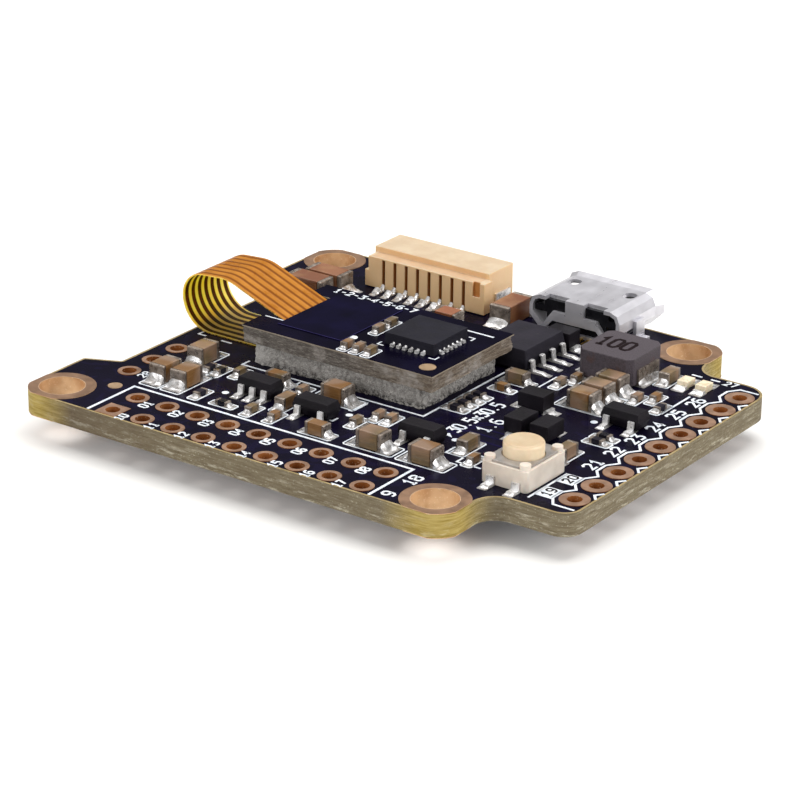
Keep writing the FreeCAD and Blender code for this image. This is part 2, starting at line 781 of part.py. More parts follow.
def usb_inside():
    """The black insulator with its tongue, and the contacts under the tongue with their solder tails."""
    room = "(dims.usb_wide - 2 * dims.usb_skin)"
    block_low = "dims.usb_low + dims.usb_chamfer + dims.usb_skin"
    block_high = "dims.usb_high - dims.usb_chamfer - dims.usb_skin - dims.usb_round"
    block_rear = "dims.usb_rear + dims.usb_skin"
    block = box("usb_block", (room, "dims.usb_block_deep", block_high),
                ("dims.usb_x", f"{block_rear} + dims.usb_block_deep / 2"), block_low)
    crown_wide = f"({room} - 2 * dims.usb_round)"
    crown = box("usb_block_crown", (crown_wide, "dims.usb_block_deep", "dims.usb_round - dims.usb_skin"),
                ("dims.usb_x", f"{block_rear} + dims.usb_block_deep / 2"), f"{block_low} + {block_high}")
    base_wide = f"({room} - 2 * dims.usb_chamfer)"
    base = box("usb_block_base", (base_wide, "dims.usb_block_deep", "dims.usb_chamfer"),
               ("dims.usb_x", f"{block_rear} + dims.usb_block_deep / 2"), "dims.usb_low + dims.usb_skin")
    reach = f"(dims.usb_straight - {block_rear} - dims.usb_tongue_setback)"
    tongue_low = "dims.usb_low + dims.usb_high / 2"
    tongue = box("usb_tongue", ("dims.usb_tongue_wide", reach, "dims.usb_tongue_thick"),
                 ("dims.usb_x", f"{block_rear} + {reach} / 2"), tongue_low)
    register(fuse("usb_plastic", [block, crown, base, tongue]), "usb_insulator")
    metal = []
    thick = "dims.usb_pin_thick"
    blade_long = f"({reach} - dims.usb_block_deep - dims.usb_blade_setback)"
    blade_y = f"{block_rear} + dims.usb_block_deep + {blade_long} / 2"
    for number in range(USB_CONTACTS):
        x = f"dims.usb_x + ({number} - {(USB_CONTACTS - 1) / 2}) * dims.usb_pin_pitch"
        metal.append(box(f"usb_blade_{number + 1}", ("dims.usb_pin_wide", blade_long, thick), (x, blade_y),
                         f"{tongue_low} - {thick}"))
        metal.append(box(f"usb_tail_{number + 1}", ("dims.usb_pin_wide", "dims.usb_tail_long", thick),
                         (x, "dims.usb_rear - dims.usb_tail_long / 2"), "dims.board_top"))
    group("usb_contacts", metal)


# ---------------------------------------------------------------- wire socket

def wire_socket():
    body = make_body("connector_housing")
    left, right = "dims.plug_x - dims.plug_wide / 2", "dims.plug_x + dims.plug_wide / 2"
    rear, front = "dims.plug_rear", "dims.plug_front"
    corners = [(left, rear), (right, rear), (right, front), (left, front)]
    block = outline(body, "housing_plan", "XY_Plane", corners, "dims.plug_low")
    extrude(body, "Pad", "housing_block", block, "dims.plug_high")
    inner_left, inner_right = f"{left} + dims.plug_side_wall", f"{right} - dims.plug_side_wall"
    low, high = "dims.plug_low + dims.plug_wall", "dims.plug_low + dims.plug_high - dims.plug_wall"
    corners = [(inner_left, low), (inner_right, low), (inner_right, high), (inner_left, high)]
    mouth = outline(body, "mouth_outline", "XZ_Plane", corners, f"-({front})")
    extrude(body, "Pocket", "mouth", mouth, "dims.plug_cavity_deep", backwards=True)
    for side in (-1, 1):
        x = f"dims.plug_x + {side} * dims.plug_key_x"
        key_left, key_right = f"{x} - dims.plug_key_wide / 2", f"{x} + dims.plug_key_wide / 2"
        name = "left_key" if side < 0 else "right_key"
        key = outline(body, f"{name}_outline", "XZ_Plane",
                      [(key_left, high), (key_right, high), (key_right, f"{high} + dims.plug_key_high"),
                       (key_left, f"{high} + dims.plug_key_high")], f"-({front})")
        extrude(body, "Pocket", name, key, "dims.plug_cavity_deep", backwards=True)
    comb(body)
    register(body, "connector_housing")


def comb(body):
    """A lower bar along the back, slotted for the solder tails, stepped at its left end and its right."""
    rear, near = "dims.plug_rear", "dims.plug_rear - dims.plug_comb_out"
    left, right = "dims.plug_x - dims.plug_comb_left", "dims.plug_x + dims.plug_comb_right"
    plan = outline(body, "comb_plan", "XY_Plane", [(left, near), (right, near), (right, rear), (left, rear)],
                   "dims.plug_low")
    extrude(body, "Pad", "comb_bar", plan, "dims.plug_comb_high")
    ledge, top = "dims.plug_low + dims.plug_ledge", "dims.plug_low + dims.plug_comb_high"
    steps = (("left_step", left, f"{left} + dims.plug_step_wide", "dims.plug_comb_out"),
             ("right_recess", f"{right} - dims.plug_recess_far", f"{right} - dims.plug_recess_near",
              "dims.plug_recess_deep"))
    for name, start, end, deep in steps:
        corners = [(start, ledge), (end, ledge), (end, top), (start, top)]
        sketch = outline(body, f"{name}_outline", "XZ_Plane", corners, f"-({near})")
        extrude(body, "Pocket", name, sketch, deep)
    first = f"dims.plug_x - {(PLUG_WAYS - 1) / 2} * dims.plug_way_pitch"
    slot_left, slot_right = f"{first} - dims.plug_slot_half", f"{first} + dims.plug_slot_half"
    low, high = "dims.plug_low", "dims.plug_low + dims.plug_slot_high"
    corners = [(slot_left, low), (slot_right, low), (slot_right, high), (slot_left, high)]
    sketch = outline(body, "slot_outline", "XZ_Plane", corners, f"-({near})")
    slot = extrude(body, "Pocket", "slot", sketch, "dims.plug_comb_out")
    row(body, "slots", slot, "X_Axis", str(PLUG_WAYS), "dims.plug_way_pitch")


def wire_socket_metal():
    pins = []
    low = "dims.plug_low + dims.plug_high / 2"
    floor = "dims.plug_front - dims.plug_cavity_deep"
    for number in range(PLUG_WAYS):
        x = f"dims.plug_x + ({number} - {(PLUG_WAYS - 1) / 2}) * dims.plug_way_pitch"
        size = ("dims.plug_pin_wide", "dims.plug_pin_reach", "dims.plug_pin_wide")
        blade = box(f"plug_blade_{number + 1}", size, (x, f"{floor} + dims.plug_pin_reach / 2"), low)
        reach = "(dims.plug_tail_reach + dims.plug_comb_out)"
        foot = box(f"plug_foot_{number + 1}", ("dims.plug_pin_wide", reach, "dims.plug_pin_thick"),
                   (x, f"dims.plug_rear - {reach} / 2"), "dims.board_top")
        size = ("dims.plug_pin_wide", "dims.plug_pin_thick", "dims.plug_riser_high")
        riser = box(f"plug_riser_{number + 1}", size, (x, "dims.plug_rear - dims.plug_pin_thick / 2"),
                    "dims.board_top")
        pins += [blade, fuse(f"plug_tail_{number + 1}", [foot, riser])]
    group("connector_pins", pins)
    tabs = []
    for side in (-1, 1):
        wall = f"dims.plug_x + {side} * dims.plug_wide / 2"
        middle = "dims.plug_front - dims.plug_tab_back"
        size = ("dims.plug_tab_thick", "dims.plug_tab_deep", "dims.plug_tab_high")
        plate = box(f"tab_plate_{side + 2}", size, (f"{wall} + {side} * dims.plug_tab_thick / 2", middle),
                    "dims.board_top")
        size = ("dims.plug_tab_wide", "dims.plug_tab_deep", "dims.plug_tab_thick")
        foot = box(f"tab_foot_{side + 2}", size, (f"{wall} + {side} * dims.plug_tab_wide / 2", middle),
                   "dims.board_top")
        tabs.append(fuse(f"hold_down_{side + 2}", [plate, foot]))
    group("connector_hold_downs", tabs)


# ---------------------------------------------------------------- boot button

def button_corners(inset):
    return [(f"dims.button_x + {sx} * (dims.button_wide / 2 - {inset})",
             f"dims.button_y + {sy} * (dims.button_long / 2 - {inset})")
            for sx, sy in ((-1, -1), (1, -1), (1, 1), (-1, 1))]


def button_base():
    body = make_body("button_base")
    corners = button_corners("0")
    plan = outline(body, "base_plan", "XY_Plane", corners, "dims.board_top")
    extrude(body, "Pad", "base_block", plan, "dims.button_wall_top - dims.board_top")
    round_corners(body, "base_rounds", "dims.button_round", corners)
    centre = [("dims.button_x", "dims.button_y")]
    well = circles(body, "well_outline", "XY_Plane", "dims.button_well", centre, "dims.button_wall_top")
    extrude(body, "Pocket", "well", well, "dims.button_wall_top - dims.board_top - dims.button_floor")
    posts = circles(body, "post_outline", "XY_Plane", "dims.button_post",
                    button_corners("dims.button_post_inset"), "dims.button_wall_top")
    extrude(body, "Pad", "posts", posts, "dims.button_post_top - dims.button_wall_top")
    register(body, "button_base")


def button_cover():
    """The steel plate on top of the walls, pierced for the cap and cut away round the posts."""
    body = make_body("button_cover")
    plan = outline(body, "cover_plan", "XY_Plane", button_corners("dims.button_cover_inset"),
                   "dims.button_wall_top")
    extrude(body, "Pad", "cover_plate", plan, "dims.button_cover_thick")
    bores = (("cap_bore", "dims.button_cover_bore", [("dims.button_x", "dims.button_y")]),
             ("post_bores", "dims.button_post + dims.button_post_gap",
              button_corners("dims.button_post_inset")))
    for name, radius, centres in bores:
        sketch = circles(body, f"{name}_outline", "XY_Plane", radius, centres, "dims.button_wall_top")
        extrude(body, "Pocket", name, sketch, "dims.button_cover_thick", backwards=True)
    register(body, "button_cover")


def revolve(body, name, corners):
    """Turn a closed half section, drawn from the body's own Z axis, through a full circle."""
    sketch = outline(body, f"{name}_section", "XZ_Plane", corners)
    turned = body.newObject("PartDesign::Revolution", name)
    turned.Profile = sketch
    turned.ReferenceAxis = (sketch, ["V_Axis"])
    turned.Angle = 360
    doc.recompute()
    return turned


def place_body(body, x, y, z="0"):
    body.setExpression("Placement.Base.x", x)
    body.setExpression("Placement.Base.y", y)
    body.setExpression("Placement.Base.z", z)


def button_cap():
    """The push cap with its retaining flange under the cover and a small nub over the dome."""
    body = make_body("button_cap")
    low, flange_top = "dims.button_flange_low", "dims.button_flange_low + dims.button_flange_high"
    dome_top = "(dims.board_top + dims.button_floor + dims.button_dome_rise + dims.button_dome_thick)"
    nub_low = f"{dome_top} + dims.button_nub_gap"
    top, edge = "dims.button_cap_top", "dims.button_cap_edge"
    corners = [("0", nub_low), ("dims.button_nub", nub_low), ("dims.button_nub", low),
               ("dims.button_flange", low), ("dims.button_flange", flange_top),
               ("dims.button_cap_round", flange_top),
               ("dims.button_cap_round", f"{top} - {edge}"), (f"dims.button_cap_round - {edge}", top),
               ("0", top)]
    revolve(body, "cap_turned", corners)
    place_body(body, "dims.button_x", "dims.button_y")
    register(body, "button_cap")


def button_dome():
    """The snap dome on the switch floor: a shallow cone-sided metal dish."""
    body = make_body("button_dome")
    floor = "(dims.board_top + dims.button_floor)"
    rise, thick, wide = "dims.button_dome_rise", "dims.button_dome_thick", "dims.button_dome_round"
    shoulder = f"{floor} + dims.button_shoulder_low"
    corners = [("0", f"{floor} + {rise}"), ("dims.button_shoulder_in", shoulder),
               (f"{wide} - dims.button_dome_rim", floor), (wide, floor),
               ("dims.button_shoulder_out", f"{shoulder} + {thick}"), ("0", f"{floor} + {rise} + {thick}")]
    revolve(body, "dome_turned", corners)
    place_body(body, "dims.button_x", "dims.button_y")
    register(body, "button_dome")


def button_terminals():
    feet = []
    for side_y in (-1, 1):
        for side_x in (-1, 1):
            name = f"button_foot_{side_y + 2}_{side_x + 2}"
            x = f"dims.button_x + {side_x} * dims.button_foot_x"
            wall = f"dims.button_y + {side_y} * dims.button_long / 2"
            thick = "dims.button_foot_thick"
            toe = box(f"{name}_toe", ("dims.button_foot_wide", "dims.button_foot_out", thick),
                      (x, f"{wall} + {side_y} * dims.button_foot_out / 2"), "dims.board_top")
            shin = box(f"{name}_shin", ("dims.button_foot_wide", thick, "dims.button_foot_rise"),
                       (x, f"{wall} + {side_y} * {thick} / 2"), "dims.board_top")
            feet.append(fuse(name, [toe, shin]))
    group("button_terminals", feet)


# ---------------------------------------------------------------- larger parts

def inductor():
    body = make_body("inductor_core")
    half = "dims.coil_side / 2"
    corners = [(f"{sx} * {half}", f"{sy} * {half}") for sx, sy in ((-1, -1), (1, -1), (1, 1), (-1, 1))]
    plan = outline(body, "core_plan", "XY_Plane", corners, "dims.coil_foot_gap")
    extrude(body, "Pad", "core_block", plan, "dims.coil_high - dims.coil_foot_gap")
    doc.recompute()
    base = body.Tip
    places = [(value(x), value(y)) for x, y in corners]
    bevel = body.newObject("PartDesign::Chamfer", "core_corners")
    bevel.Base = (base, upright_edges(base.Shape, places))
    bevel.setExpression("Size", "dims.coil_corner")
    place_body(body, "dims.coil_x", "dims.coil_y", "dims.board_top")
    register(body, "inductor_core")
    ends = []
    for side in (-1, 1):
        thick = "dims.coil_end_thick"
        plate = box(f"coil_plate_{side + 2}", (thick, "dims.coil_end_wide", "dims.coil_end_high"),
                    (f"dims.coil_x + {side} * ({half} + {thick} / 2)", "dims.coil_y"), "dims.board_top")
        size = ("dims.coil_foot_long", "dims.coil_end_wide", "dims.coil_foot_gap")
        foot = box(f"coil_foot_{side + 2}", size,
                   (f"dims.coil_x + {side} * ({half} - dims.coil_foot_long / 2)", "dims.coil_y"),
                   "dims.board_top")
        ends.append(fuse(f"coil_end_{side + 2}", [plate, foot]))
    group("inductor_terminals", ends)


def gull_section(body, name, half_body, reach, foot, exit_height, offset="0", side=1):
    """A lead seen from the side: out of the body, down to the board and outwards again."""
    thick = "dims.lead_thick"
    tip = f"{side} * {reach}"
    heel = f"{side} * ({reach} - {foot})"
    root = f"{side} * ({half_body})"
    upper = f"{exit_height} + {thick}"
    inner = f"{heel} - {side} * {thick}"
    corners = [(root, exit_height), (f"{inner} - {side} * {thick} / 2", exit_height), (inner, "0"),
               (tip, "0"), (tip, thick), (heel, thick), (f"{heel} - {side} * {thick} / 2", upper),
               (root, upper)]
    return outline(body, name, "XZ_Plane", corners, offset)


def two_sided_leads(name, prefix, x, y, z, turn=0, underside=False):
    """Two facing rows of gull-wing leads, turned about Z and, under the board, upside down."""
    body = make_body(name)
    exit_height = f"dims.chip_gap + dims.{prefix}_high * dims.lead_exit"
    span = f"(dims.{prefix}_count - 1) * dims.{prefix}_pitch / 2"
    for side, name in ((-1, "left"), (1, "right")):
        section = gull_section(body, f"{name}_section", f"dims.{prefix}_wide / 2", f"dims.{prefix}_reach",
                               f"dims.{prefix}_foot", exit_height, span, side)
        lead = extrude(body, "Pad", f"{name}_lead", section, f"dims.{prefix}_lead", symmetric=True)
        row(body, f"{name}_row", lead, "Y_Axis", f"dims.{prefix}_count", f"dims.{prefix}_pitch")
    flip = FreeCAD.Rotation(vector(0, 1, 0), 180 if underside else 0)
    body.Placement = FreeCAD.Placement(vector(), FreeCAD.Rotation(vector(0, 0, 1), turn) * flip)
    place_body(body, x, y, z)
    return body


def regulator():
    size = ("dims.soic_wide", "dims.soic_long", "dims.soic_high")
    register(moulded("regulator", size, ("dims.soic_x", "dims.soic_y"), "dims.board_top + dims.chip_gap",
                     "dims.soic_high * dims.lead_exit"), "regulator_body")
    leads = two_sided_leads("regulator_leads", "soic", "dims.soic_x", "dims.soic_y", "dims.board_top")
    register(leads, "regulator_leads")


def single_lead(name, centre, across, side):
    """One transistor lead; side is -1 for the near edge of the body and 1 for the far edge."""
    body = make_body(name)
    exit_height = "dims.chip_gap + dims.sot_high * dims.lead_exit"
    section = gull_section(body, f"{name}_section", "dims.sot_long / 2", "dims.sot_reach", "dims.sot_foot",
                           exit_height)
    extrude(body, "Pad", f"{name}_pad", section, "dims.sot_lead", symmetric=True)
    body.Placement = FreeCAD.Placement(vector(), FreeCAD.Rotation(vector(0, 0, 1), 90 * side))
    place_body(body, f"{centre[0]} + {across} * dims.sot_pitch", centre[1], "dims.board_top")
    return body


def transistors():
    centres = [(f"layout.transistor_{number}_x", f"layout.transistor_{number}_y")
               for number in range(1, len(TRANSISTORS) + 1)]
    driver = ("layout.driver_x", "layout.driver_y")
    size = ("dims.sot_wide", "dims.sot_long", "dims.sot_high")
    bodies = [moulded(f"transistor_{number}", size, centre, "dims.board_top + dims.chip_gap",
                      "dims.sot_high * dims.lead_exit")
              for number, centre in enumerate(centres + [driver], start=1)]
    group("transistor_bodies", bodies)
    leads = []
    for number, centre in enumerate(centres, start=1):
        for across, side in ((-1, -1), (1, -1), (0, 1)):
            leads.append(single_lead(f"transistor_lead_{number}_{len(leads) + 1}", centre, across, side))
    for side in (-1, 1):
        for across in (-1, 0, 1):
            leads.append(single_lead(f"driver_lead_{len(leads) + 1}", driver, across, side))
    group("transistor_leads", leads)


# ---------------------------------------------------------------- two-terminal parts

def centres_of(package):
    """Each part's centre as expressions, with its direction."""
    for way, centres in LAYOUT[package].items():
        for number in range(1, len(centres) + 1):
            name = f"{package}_{way}_{number}"
            yield name, way, (f"layout.{name}_x", f"layout.{name}_y")


def lying(way, long, wide, high):
    """A size triple for a part lying along X or along Y."""
    return (long, wide, high) if way == "along_x" else (wide, long, high)


def shifted(way, centre, distance):
    """A point moved along the part's own direction."""
    if way == "along_x":
        return (f"{centre[0]} + {distance}", centre[1])
    return (centre[0], f"{centre[1]} + {distance}")


def chip_parts(package, prefix, low, hanging=False):
    """The middles and the metal ends of every part of one package; hanging parts are below low."""
    long, wide = f"dims.{prefix}_long", f"dims.{prefix}_wide"
    high, end = f"dims.{prefix}_high", f"dims.{prefix}_end"
    base = f"{low} - {high}" if hanging else low
    middles, ends = [], []
    for name, way, centre in centres_of(package):
        middles.append(box(f"{name}_middle", lying(way, f"({long} - 2 * {end})", wide, high), centre, base))
        for side in (-1, 1):
            spot = shifted(way, centre, f"{side} * ({long} - {end}) / 2")
            ends.append(box(f"{name}_end_{side + 2}", lying(way, end, wide, high), spot, base))
    return middles, ends


def capacitors():
    for prefix in ("s0402", "s0603", "s0805", "s1206"):
        middles, ends = chip_parts(f"{prefix}_top", prefix, "dims.board_top")
        size_code = prefix[1:]
        group(f"capacitor_{size_code}_bodies", middles)
        group(f"capacitor_{size_code}_terminals", ends)


def resistors():
    middles, ends = chip_parts("resistor_top", "resistor", "dims.board_top")
    group("resistor_bodies", middles)
    group("resistor_terminals", ends)


def diodes():
    blocks, ends = [], []
    for name, way, centre in centres_of("diode_top"):
        middle_long = "(dims.diode_long - 2 * dims.diode_end + 2 * dims.diode_overhang)"
        size = lying(way, middle_long, "dims.diode_wide", "dims.diode_high")
        blocks.append(box(f"{name}_block", size, centre, "dims.board_top + dims.diode_end_high"))
        for side in (-1, 1):
            spot = shifted(way, centre, f"{side} * (dims.diode_long - dims.diode_end) / 2")
            ends.append(box(f"{name}_end_{side + 2}", lying(way, "dims.diode_end", "dims.diode_end_wide",
                                                            "dims.diode_end_high"), spot, "dims.board_top"))
    group("diode_bodies", blocks)
    group("diode_terminals", ends)


def leds():
    bases, lenses, ends = [], [], []
    lens_low = "dims.board_top + dims.led_base_high"
    for name, way, centre in centres_of("led_top"):
        base_long = "(dims.led_long - 2 * dims.led_end)"
        bases.append(box(f"{name}_base", lying(way, base_long, "dims.led_wide", "dims.led_base_high"), centre,
                         "dims.board_top"))
        size = lying(way, "dims.led_lens_long", "dims.led_wide", "dims.led_lens_high")
        lenses.append(box(f"{name}_lens", size, centre, lens_low))
        for side in (-1, 1):
            spot = shifted(way, centre, f"{side} * (dims.led_long - dims.led_end) / 2")
            ends.append(box(f"{name}_end_{side + 2}", lying(way, "dims.led_end", "dims.led_wide",
                                                            "dims.led_base_high"), spot, "dims.board_top"))
    group("led_bases", bases)
    group("led_lenses", lenses)
    group("led_terminals", ends)


# ---------------------------------------------------------------- gyro board, foam and ribbon

def foam():
    size = ("dims.foam_long", "dims.foam_wide", "dims.foam_thick")
    register(box("foam", size, ("dims.foam_x", "dims.foam_y"), "dims.board_top"), "foam_pad")


def gyro_board():
    body = make_body("gyro_pcb")
    left, right, near, far = "dims.gyro_left", "dims.gyro_right", "dims.gyro_near", "dims.gyro_far"
    notch = [(left, "dims.gyro_notch_far"), ("dims.gyro_notch_x", "dims.gyro_notch_far"),
             ("dims.gyro_notch_x", "dims.gyro_notch_near"), (left, "dims.gyro_notch_near")]
    outer = [(left, near), (right, near), (right, far), (left, far)]
    plan = outline(body, "gyro_plan", "XY_Plane", outer + notch, "dims.gyro_low")
    extrude(body, "Pad", "gyro_plate", plan, "dims.gyro_thick")
    round_corners(body, "gyro_rounds", "dims.gyro_round", outer)
    register(body, "gyro_pcb")
    top = "dims.gyro_low + dims.gyro_thick"
    skin_long = "(dims.overlay_right - dims.gyro_notch_x)"
    skin_wide = "(dims.overlay_far - dims.overlay_near)"
    register(box("overlay", (skin_long, skin_wide, "dims.overlay_thick"),
                 (f"dims.gyro_notch_x + {skin_long} / 2", f"dims.overlay_near + {skin_wide} / 2"), top),
             "gyro_flex_cover")
    middles, ends = chip_parts("s0402_gyro", "s0402", top)
    group("gyro_capacitor_bodies", middles)
    group("gyro_capacitor_terminals", ends)
    size = ("dims.imu_side", "dims.imu_side", "dims.imu_high")
    register(box("imu", size, ("dims.imu_x", "dims.imu_y"), top), "gyro_chip_body")
    pads = []
    for number in range(IMU_SIDE_PADS):
        along = f"({number} - {(IMU_SIDE_PADS - 1) / 2}) * dims.imu_pin_pitch"
        out = "(dims.imu_side + dims.imu_pin_out) / 2"
        for side in (-1, 1):
            wide, deep = "dims.imu_pin_wide", "dims.imu_pin_out"
            pads.append(box(f"imu_pad_x_{number}_{side + 2}", (deep, wide, "dims.imu_pin_high"),
                            (f"dims.imu_x + {side} * {out}", f"dims.imu_y + {along}"), top))
            pads.append(box(f"imu_pad_y_{number}_{side + 2}", (wide, deep, "dims.imu_pin_high"),
                            (f"dims.imu_x + {along}", f"dims.imu_y + {side} * {out}"), top))
    group("gyro_chip_pads", pads)


def ribbon_path():
    """Straight runs and tangent arcs in the XZ plane, from the board up, over and down to the gyro board."""
    x, z = value("dims.ribbon_tail"), value("dims.board_top + dims.ribbon_lift + dims.ribbon_thick / 2")
    heading = math.radians(180)
    edges = []

    def straight(distance):
        nonlocal x, z
        end_x, end_z = x + distance * math.cos(heading), z + distance * math.sin(heading)
        edges.append(Part.LineSegment(vector(x, 0, z), vector(end_x, 0, end_z)).toShape())
        x, z = end_x, end_z

    def bend(radius, degrees):
        """Turn clockwise, seen with X to the right and Z up."""
        nonlocal x, z, heading
        centre_x, centre_z = x + radius * math.sin(heading), z - radius * math.cos(heading)
        places = []
        for part in (0, 0.5, 1):
            angle = heading + math.pi / 2 - math.radians(degrees) * part
            places.append(vector(centre_x + radius * math.cos(angle), 0, centre_z + radius * math.sin(angle)))
        edges.append(Part.Arc(*places).toShape())
        x, z = places[2].x, places[2].z
        heading -= math.radians(degrees)

    straight(value("dims.ribbon_tail - dims.ribbon_rise_x"))
    bend(value("dims.ribbon_rise_round"), 90)
    bend(value("dims.ribbon_crown_round"), 90 - value("dims.ribbon_crown_slope"))
    straight(value("dims.ribbon_top_run"))
    bend(value("dims.ribbon_fall_round"), value("dims.ribbon_crown_slope + dims.ribbon_fall_slope"))
    straight((value("dims.gyro_notch_x - dims.ribbon_end_gap") - x) / math.cos(heading))
    return Part.Wire(edges)


def ribbon():
    """The flat ribbon: the path thickened both ways in its own plane, then drawn out across its width."""
    near, far, thick = value("dims.ribbon_near"), value("dims.ribbon_far"), value("dims.ribbon_thick")
    path = ribbon_path()
    start = path.OrderedVertexes[0].Point
    strip = Part.Face(Part.makePolygon([
        start + vector(0, near, -thick / 2), start + vector(0, far, -thick / 2),
        start + vector(0, far, thick / 2), start + vector(0, near, thick / 2),
        start + vector(0, near, -thick / 2)]))
    solid = path.makePipeShell([strip.OuterWire], True, False)
    feature = doc.addObject("Part::Feature", "ribbon")
    feature.Shape = solid
    feature.Placement = FreeCAD.Placement(vector(), FreeCAD.Rotation())
    expected = path.Length * thick * (far - near)
    if abs(solid.Volume - expected) > 0.01 * expected:
        raise ValueError("the ribbon's volume is not its section times its length")
    register(feature, "flex_ribbon")


# ---------------------------------------------------------------- underside

def under_box(name, size, centre, gap):
    """A block that hangs below the board, its top a gap away from the board."""
    return box(name, size, centre, f"-({gap} + {size[2]})")


def under_chip(name, size, centre):
    """A moulded package that hangs below the board."""
    below = f"({size[2]} * (1 - dims.lead_exit) - dims.lead_thick)"
    return moulded(name, size, centre, f"-(dims.chip_gap + {size[2]})", below)


def processor():
    size = ("dims.mcu_wide", "dims.mcu_wide", "dims.mcu_high")
    register(under_chip("mcu", size, ("dims.mcu_x", "dims.mcu_y")), "mcu_body")
    rows = [two_sided_leads(f"mcu_leads_{turn}", "mcu", "dims.mcu_x", "dims.mcu_y", "0", turn, underside=True)
            for turn in (0, 90)]
    group("mcu_leads", rows)


def underside_chips():
    for label, prefix, spot in (("video_chip", "video", "video"), ("flash_chip", "soic", "flash")):
        centre = (f"dims.{spot}_x", f"dims.{spot}_y")
        size = (f"dims.{prefix}_wide", f"dims.{prefix}_long", f"dims.{prefix}_high")
        turned = (size[1], size[0], size[2]) if spot == "flash" else size
        register(under_chip(label, turned, centre), f"{label}_body")
        turn = 90 if spot == "flash" else 0
        leads = two_sided_leads(f"{label}_leads", prefix, centre[0], centre[1], "0", turn, underside=True)
        register(leads, f"{label}_leads")


def lidded_can(label, prefix):
    """A small ceramic base with a metal lid set in from its rim."""
    wide, long = f"dims.{prefix}_wide", f"dims.{prefix}_long"
    rim, centre = f"2 * dims.{prefix}_rim", (f"dims.{prefix}_x", f"dims.{prefix}_y")
    base = under_box(f"{prefix}_base_block", (wide, long, f"dims.{prefix}_base"), centre, "0")
    register(base, f"{label}_base")
    size = (f"({wide} - {rim})", f"({long} - {rim})", f"dims.{prefix}_lid")
    return under_box(f"{prefix}_lid_block", size, centre, f"dims.{prefix}_base")


def crystal():
    register(lidded_can("crystal", "crystal"), "crystal_lid")


def barometer():
    lid = lidded_can("barometer", "baro")
    low = "-(dims.baro_base + dims.baro_lid)"
    vent = cylinder("baro_vent_hole", "dims.baro_vent", "dims.baro_lid",
                    ("dims.baro_x + dims.baro_vent_x", "dims.baro_y + dims.baro_vent_y"), low)
    register(cut("baro_pierced", lid, vent), "barometer_lid")


def underside_capacitors():
    middles, ends = chip_parts("s0402_under", "s0402", "0", hanging=True)
    group("underside_capacitor_bodies", middles)
    group("underside_capacitor_terminals", ends)


# ---------------------------------------------------------------- build, check and write

def build():
    main_board()
    plated_holes()
    usb_shell()
    usb_inside()
    wire_socket()
    wire_socket_metal()
    button_base()
    button_cover()
    button_cap()
    button_dome()
    button_terminals()
    inductor()
    regulator()
    transistors()
    capacitors()
    resistors()
    diodes()
    leds()
    foam()
    gyro_board()
    ribbon()
    processor()
    underside_chips()
    crystal()
    barometer()
    underside_capacitors()


def check():
    for thing in doc.Objects:
        if "Invalid" in thing.State or "Error" in thing.State:
            raise ValueError(f"{thing.Name} did not recompute: {thing.State}")
    for node in nodes:
        if node.Shape.isNull() or not node.Shape.isValid() or not node.Shape.Solids:
            raise ValueError(f"{node.Label} has no valid solid")


def write():
    os.makedirs("parts", exist_ok=True)
    for node in nodes:
        node.Shape.exportStep(os.path.join("parts", f"{node.Label}.step"))
        print(f"{node.Label}: {len(node.Shape.Solids)} solids, {node.Shape.Volume:.3f} mm3")


fill_sheet(dims, DIMENSIONS)
fill_sheet(layout, layout_cells())
doc.recompute()
build()
doc.recompute()
check()
write()
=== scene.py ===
import math
from collections import namedtuple
from itertools import combinations

import bmesh
import bpy
from mathutils import Matrix, Vector, noise


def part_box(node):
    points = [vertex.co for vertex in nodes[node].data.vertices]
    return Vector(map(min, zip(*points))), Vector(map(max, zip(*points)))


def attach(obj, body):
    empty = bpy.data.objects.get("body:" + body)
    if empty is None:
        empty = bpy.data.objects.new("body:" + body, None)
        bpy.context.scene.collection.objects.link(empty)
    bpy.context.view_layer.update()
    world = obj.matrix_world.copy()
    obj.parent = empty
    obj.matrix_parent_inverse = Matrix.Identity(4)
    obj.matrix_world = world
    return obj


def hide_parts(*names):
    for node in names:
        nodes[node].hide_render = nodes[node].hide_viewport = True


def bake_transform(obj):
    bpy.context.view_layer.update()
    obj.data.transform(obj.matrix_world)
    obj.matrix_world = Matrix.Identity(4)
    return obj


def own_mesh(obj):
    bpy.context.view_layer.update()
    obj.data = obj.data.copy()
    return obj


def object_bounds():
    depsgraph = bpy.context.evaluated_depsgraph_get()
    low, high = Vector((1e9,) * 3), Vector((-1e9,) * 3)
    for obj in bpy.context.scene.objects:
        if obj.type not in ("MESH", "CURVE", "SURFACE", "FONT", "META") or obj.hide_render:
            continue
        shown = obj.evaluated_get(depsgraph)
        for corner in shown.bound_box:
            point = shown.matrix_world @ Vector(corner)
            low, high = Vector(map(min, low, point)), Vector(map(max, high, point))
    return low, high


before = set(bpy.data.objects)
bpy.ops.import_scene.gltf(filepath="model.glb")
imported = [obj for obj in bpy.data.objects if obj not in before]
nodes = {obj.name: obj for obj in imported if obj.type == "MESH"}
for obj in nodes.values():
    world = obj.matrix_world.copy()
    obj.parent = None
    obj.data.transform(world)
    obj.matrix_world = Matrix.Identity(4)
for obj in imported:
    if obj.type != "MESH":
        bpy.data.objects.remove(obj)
cad_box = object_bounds()

scene = bpy.context.scene
MM = 0.001
Box = namedtuple("Box", "low high")

# Surfaces of the main board and of the gyro board, in millimetres.
TOP = 1.6
BOTTOM = 0.0
GYRO_TOP = 4.3
INK = 0.018
PAD = 0.035
SINK = 0.01                     # how far ink, pads and traces go into the surface under them
UPPER, UNDER, GYRO = (TOP, 1), (BOTTOM, -1), (GYRO_TOP, 1)      # a surface and its way out
MOUNT = 15.25                   # the mounting holes from the middle, along each side
HALF_PITCH = 1.27               # of the header and the side pads


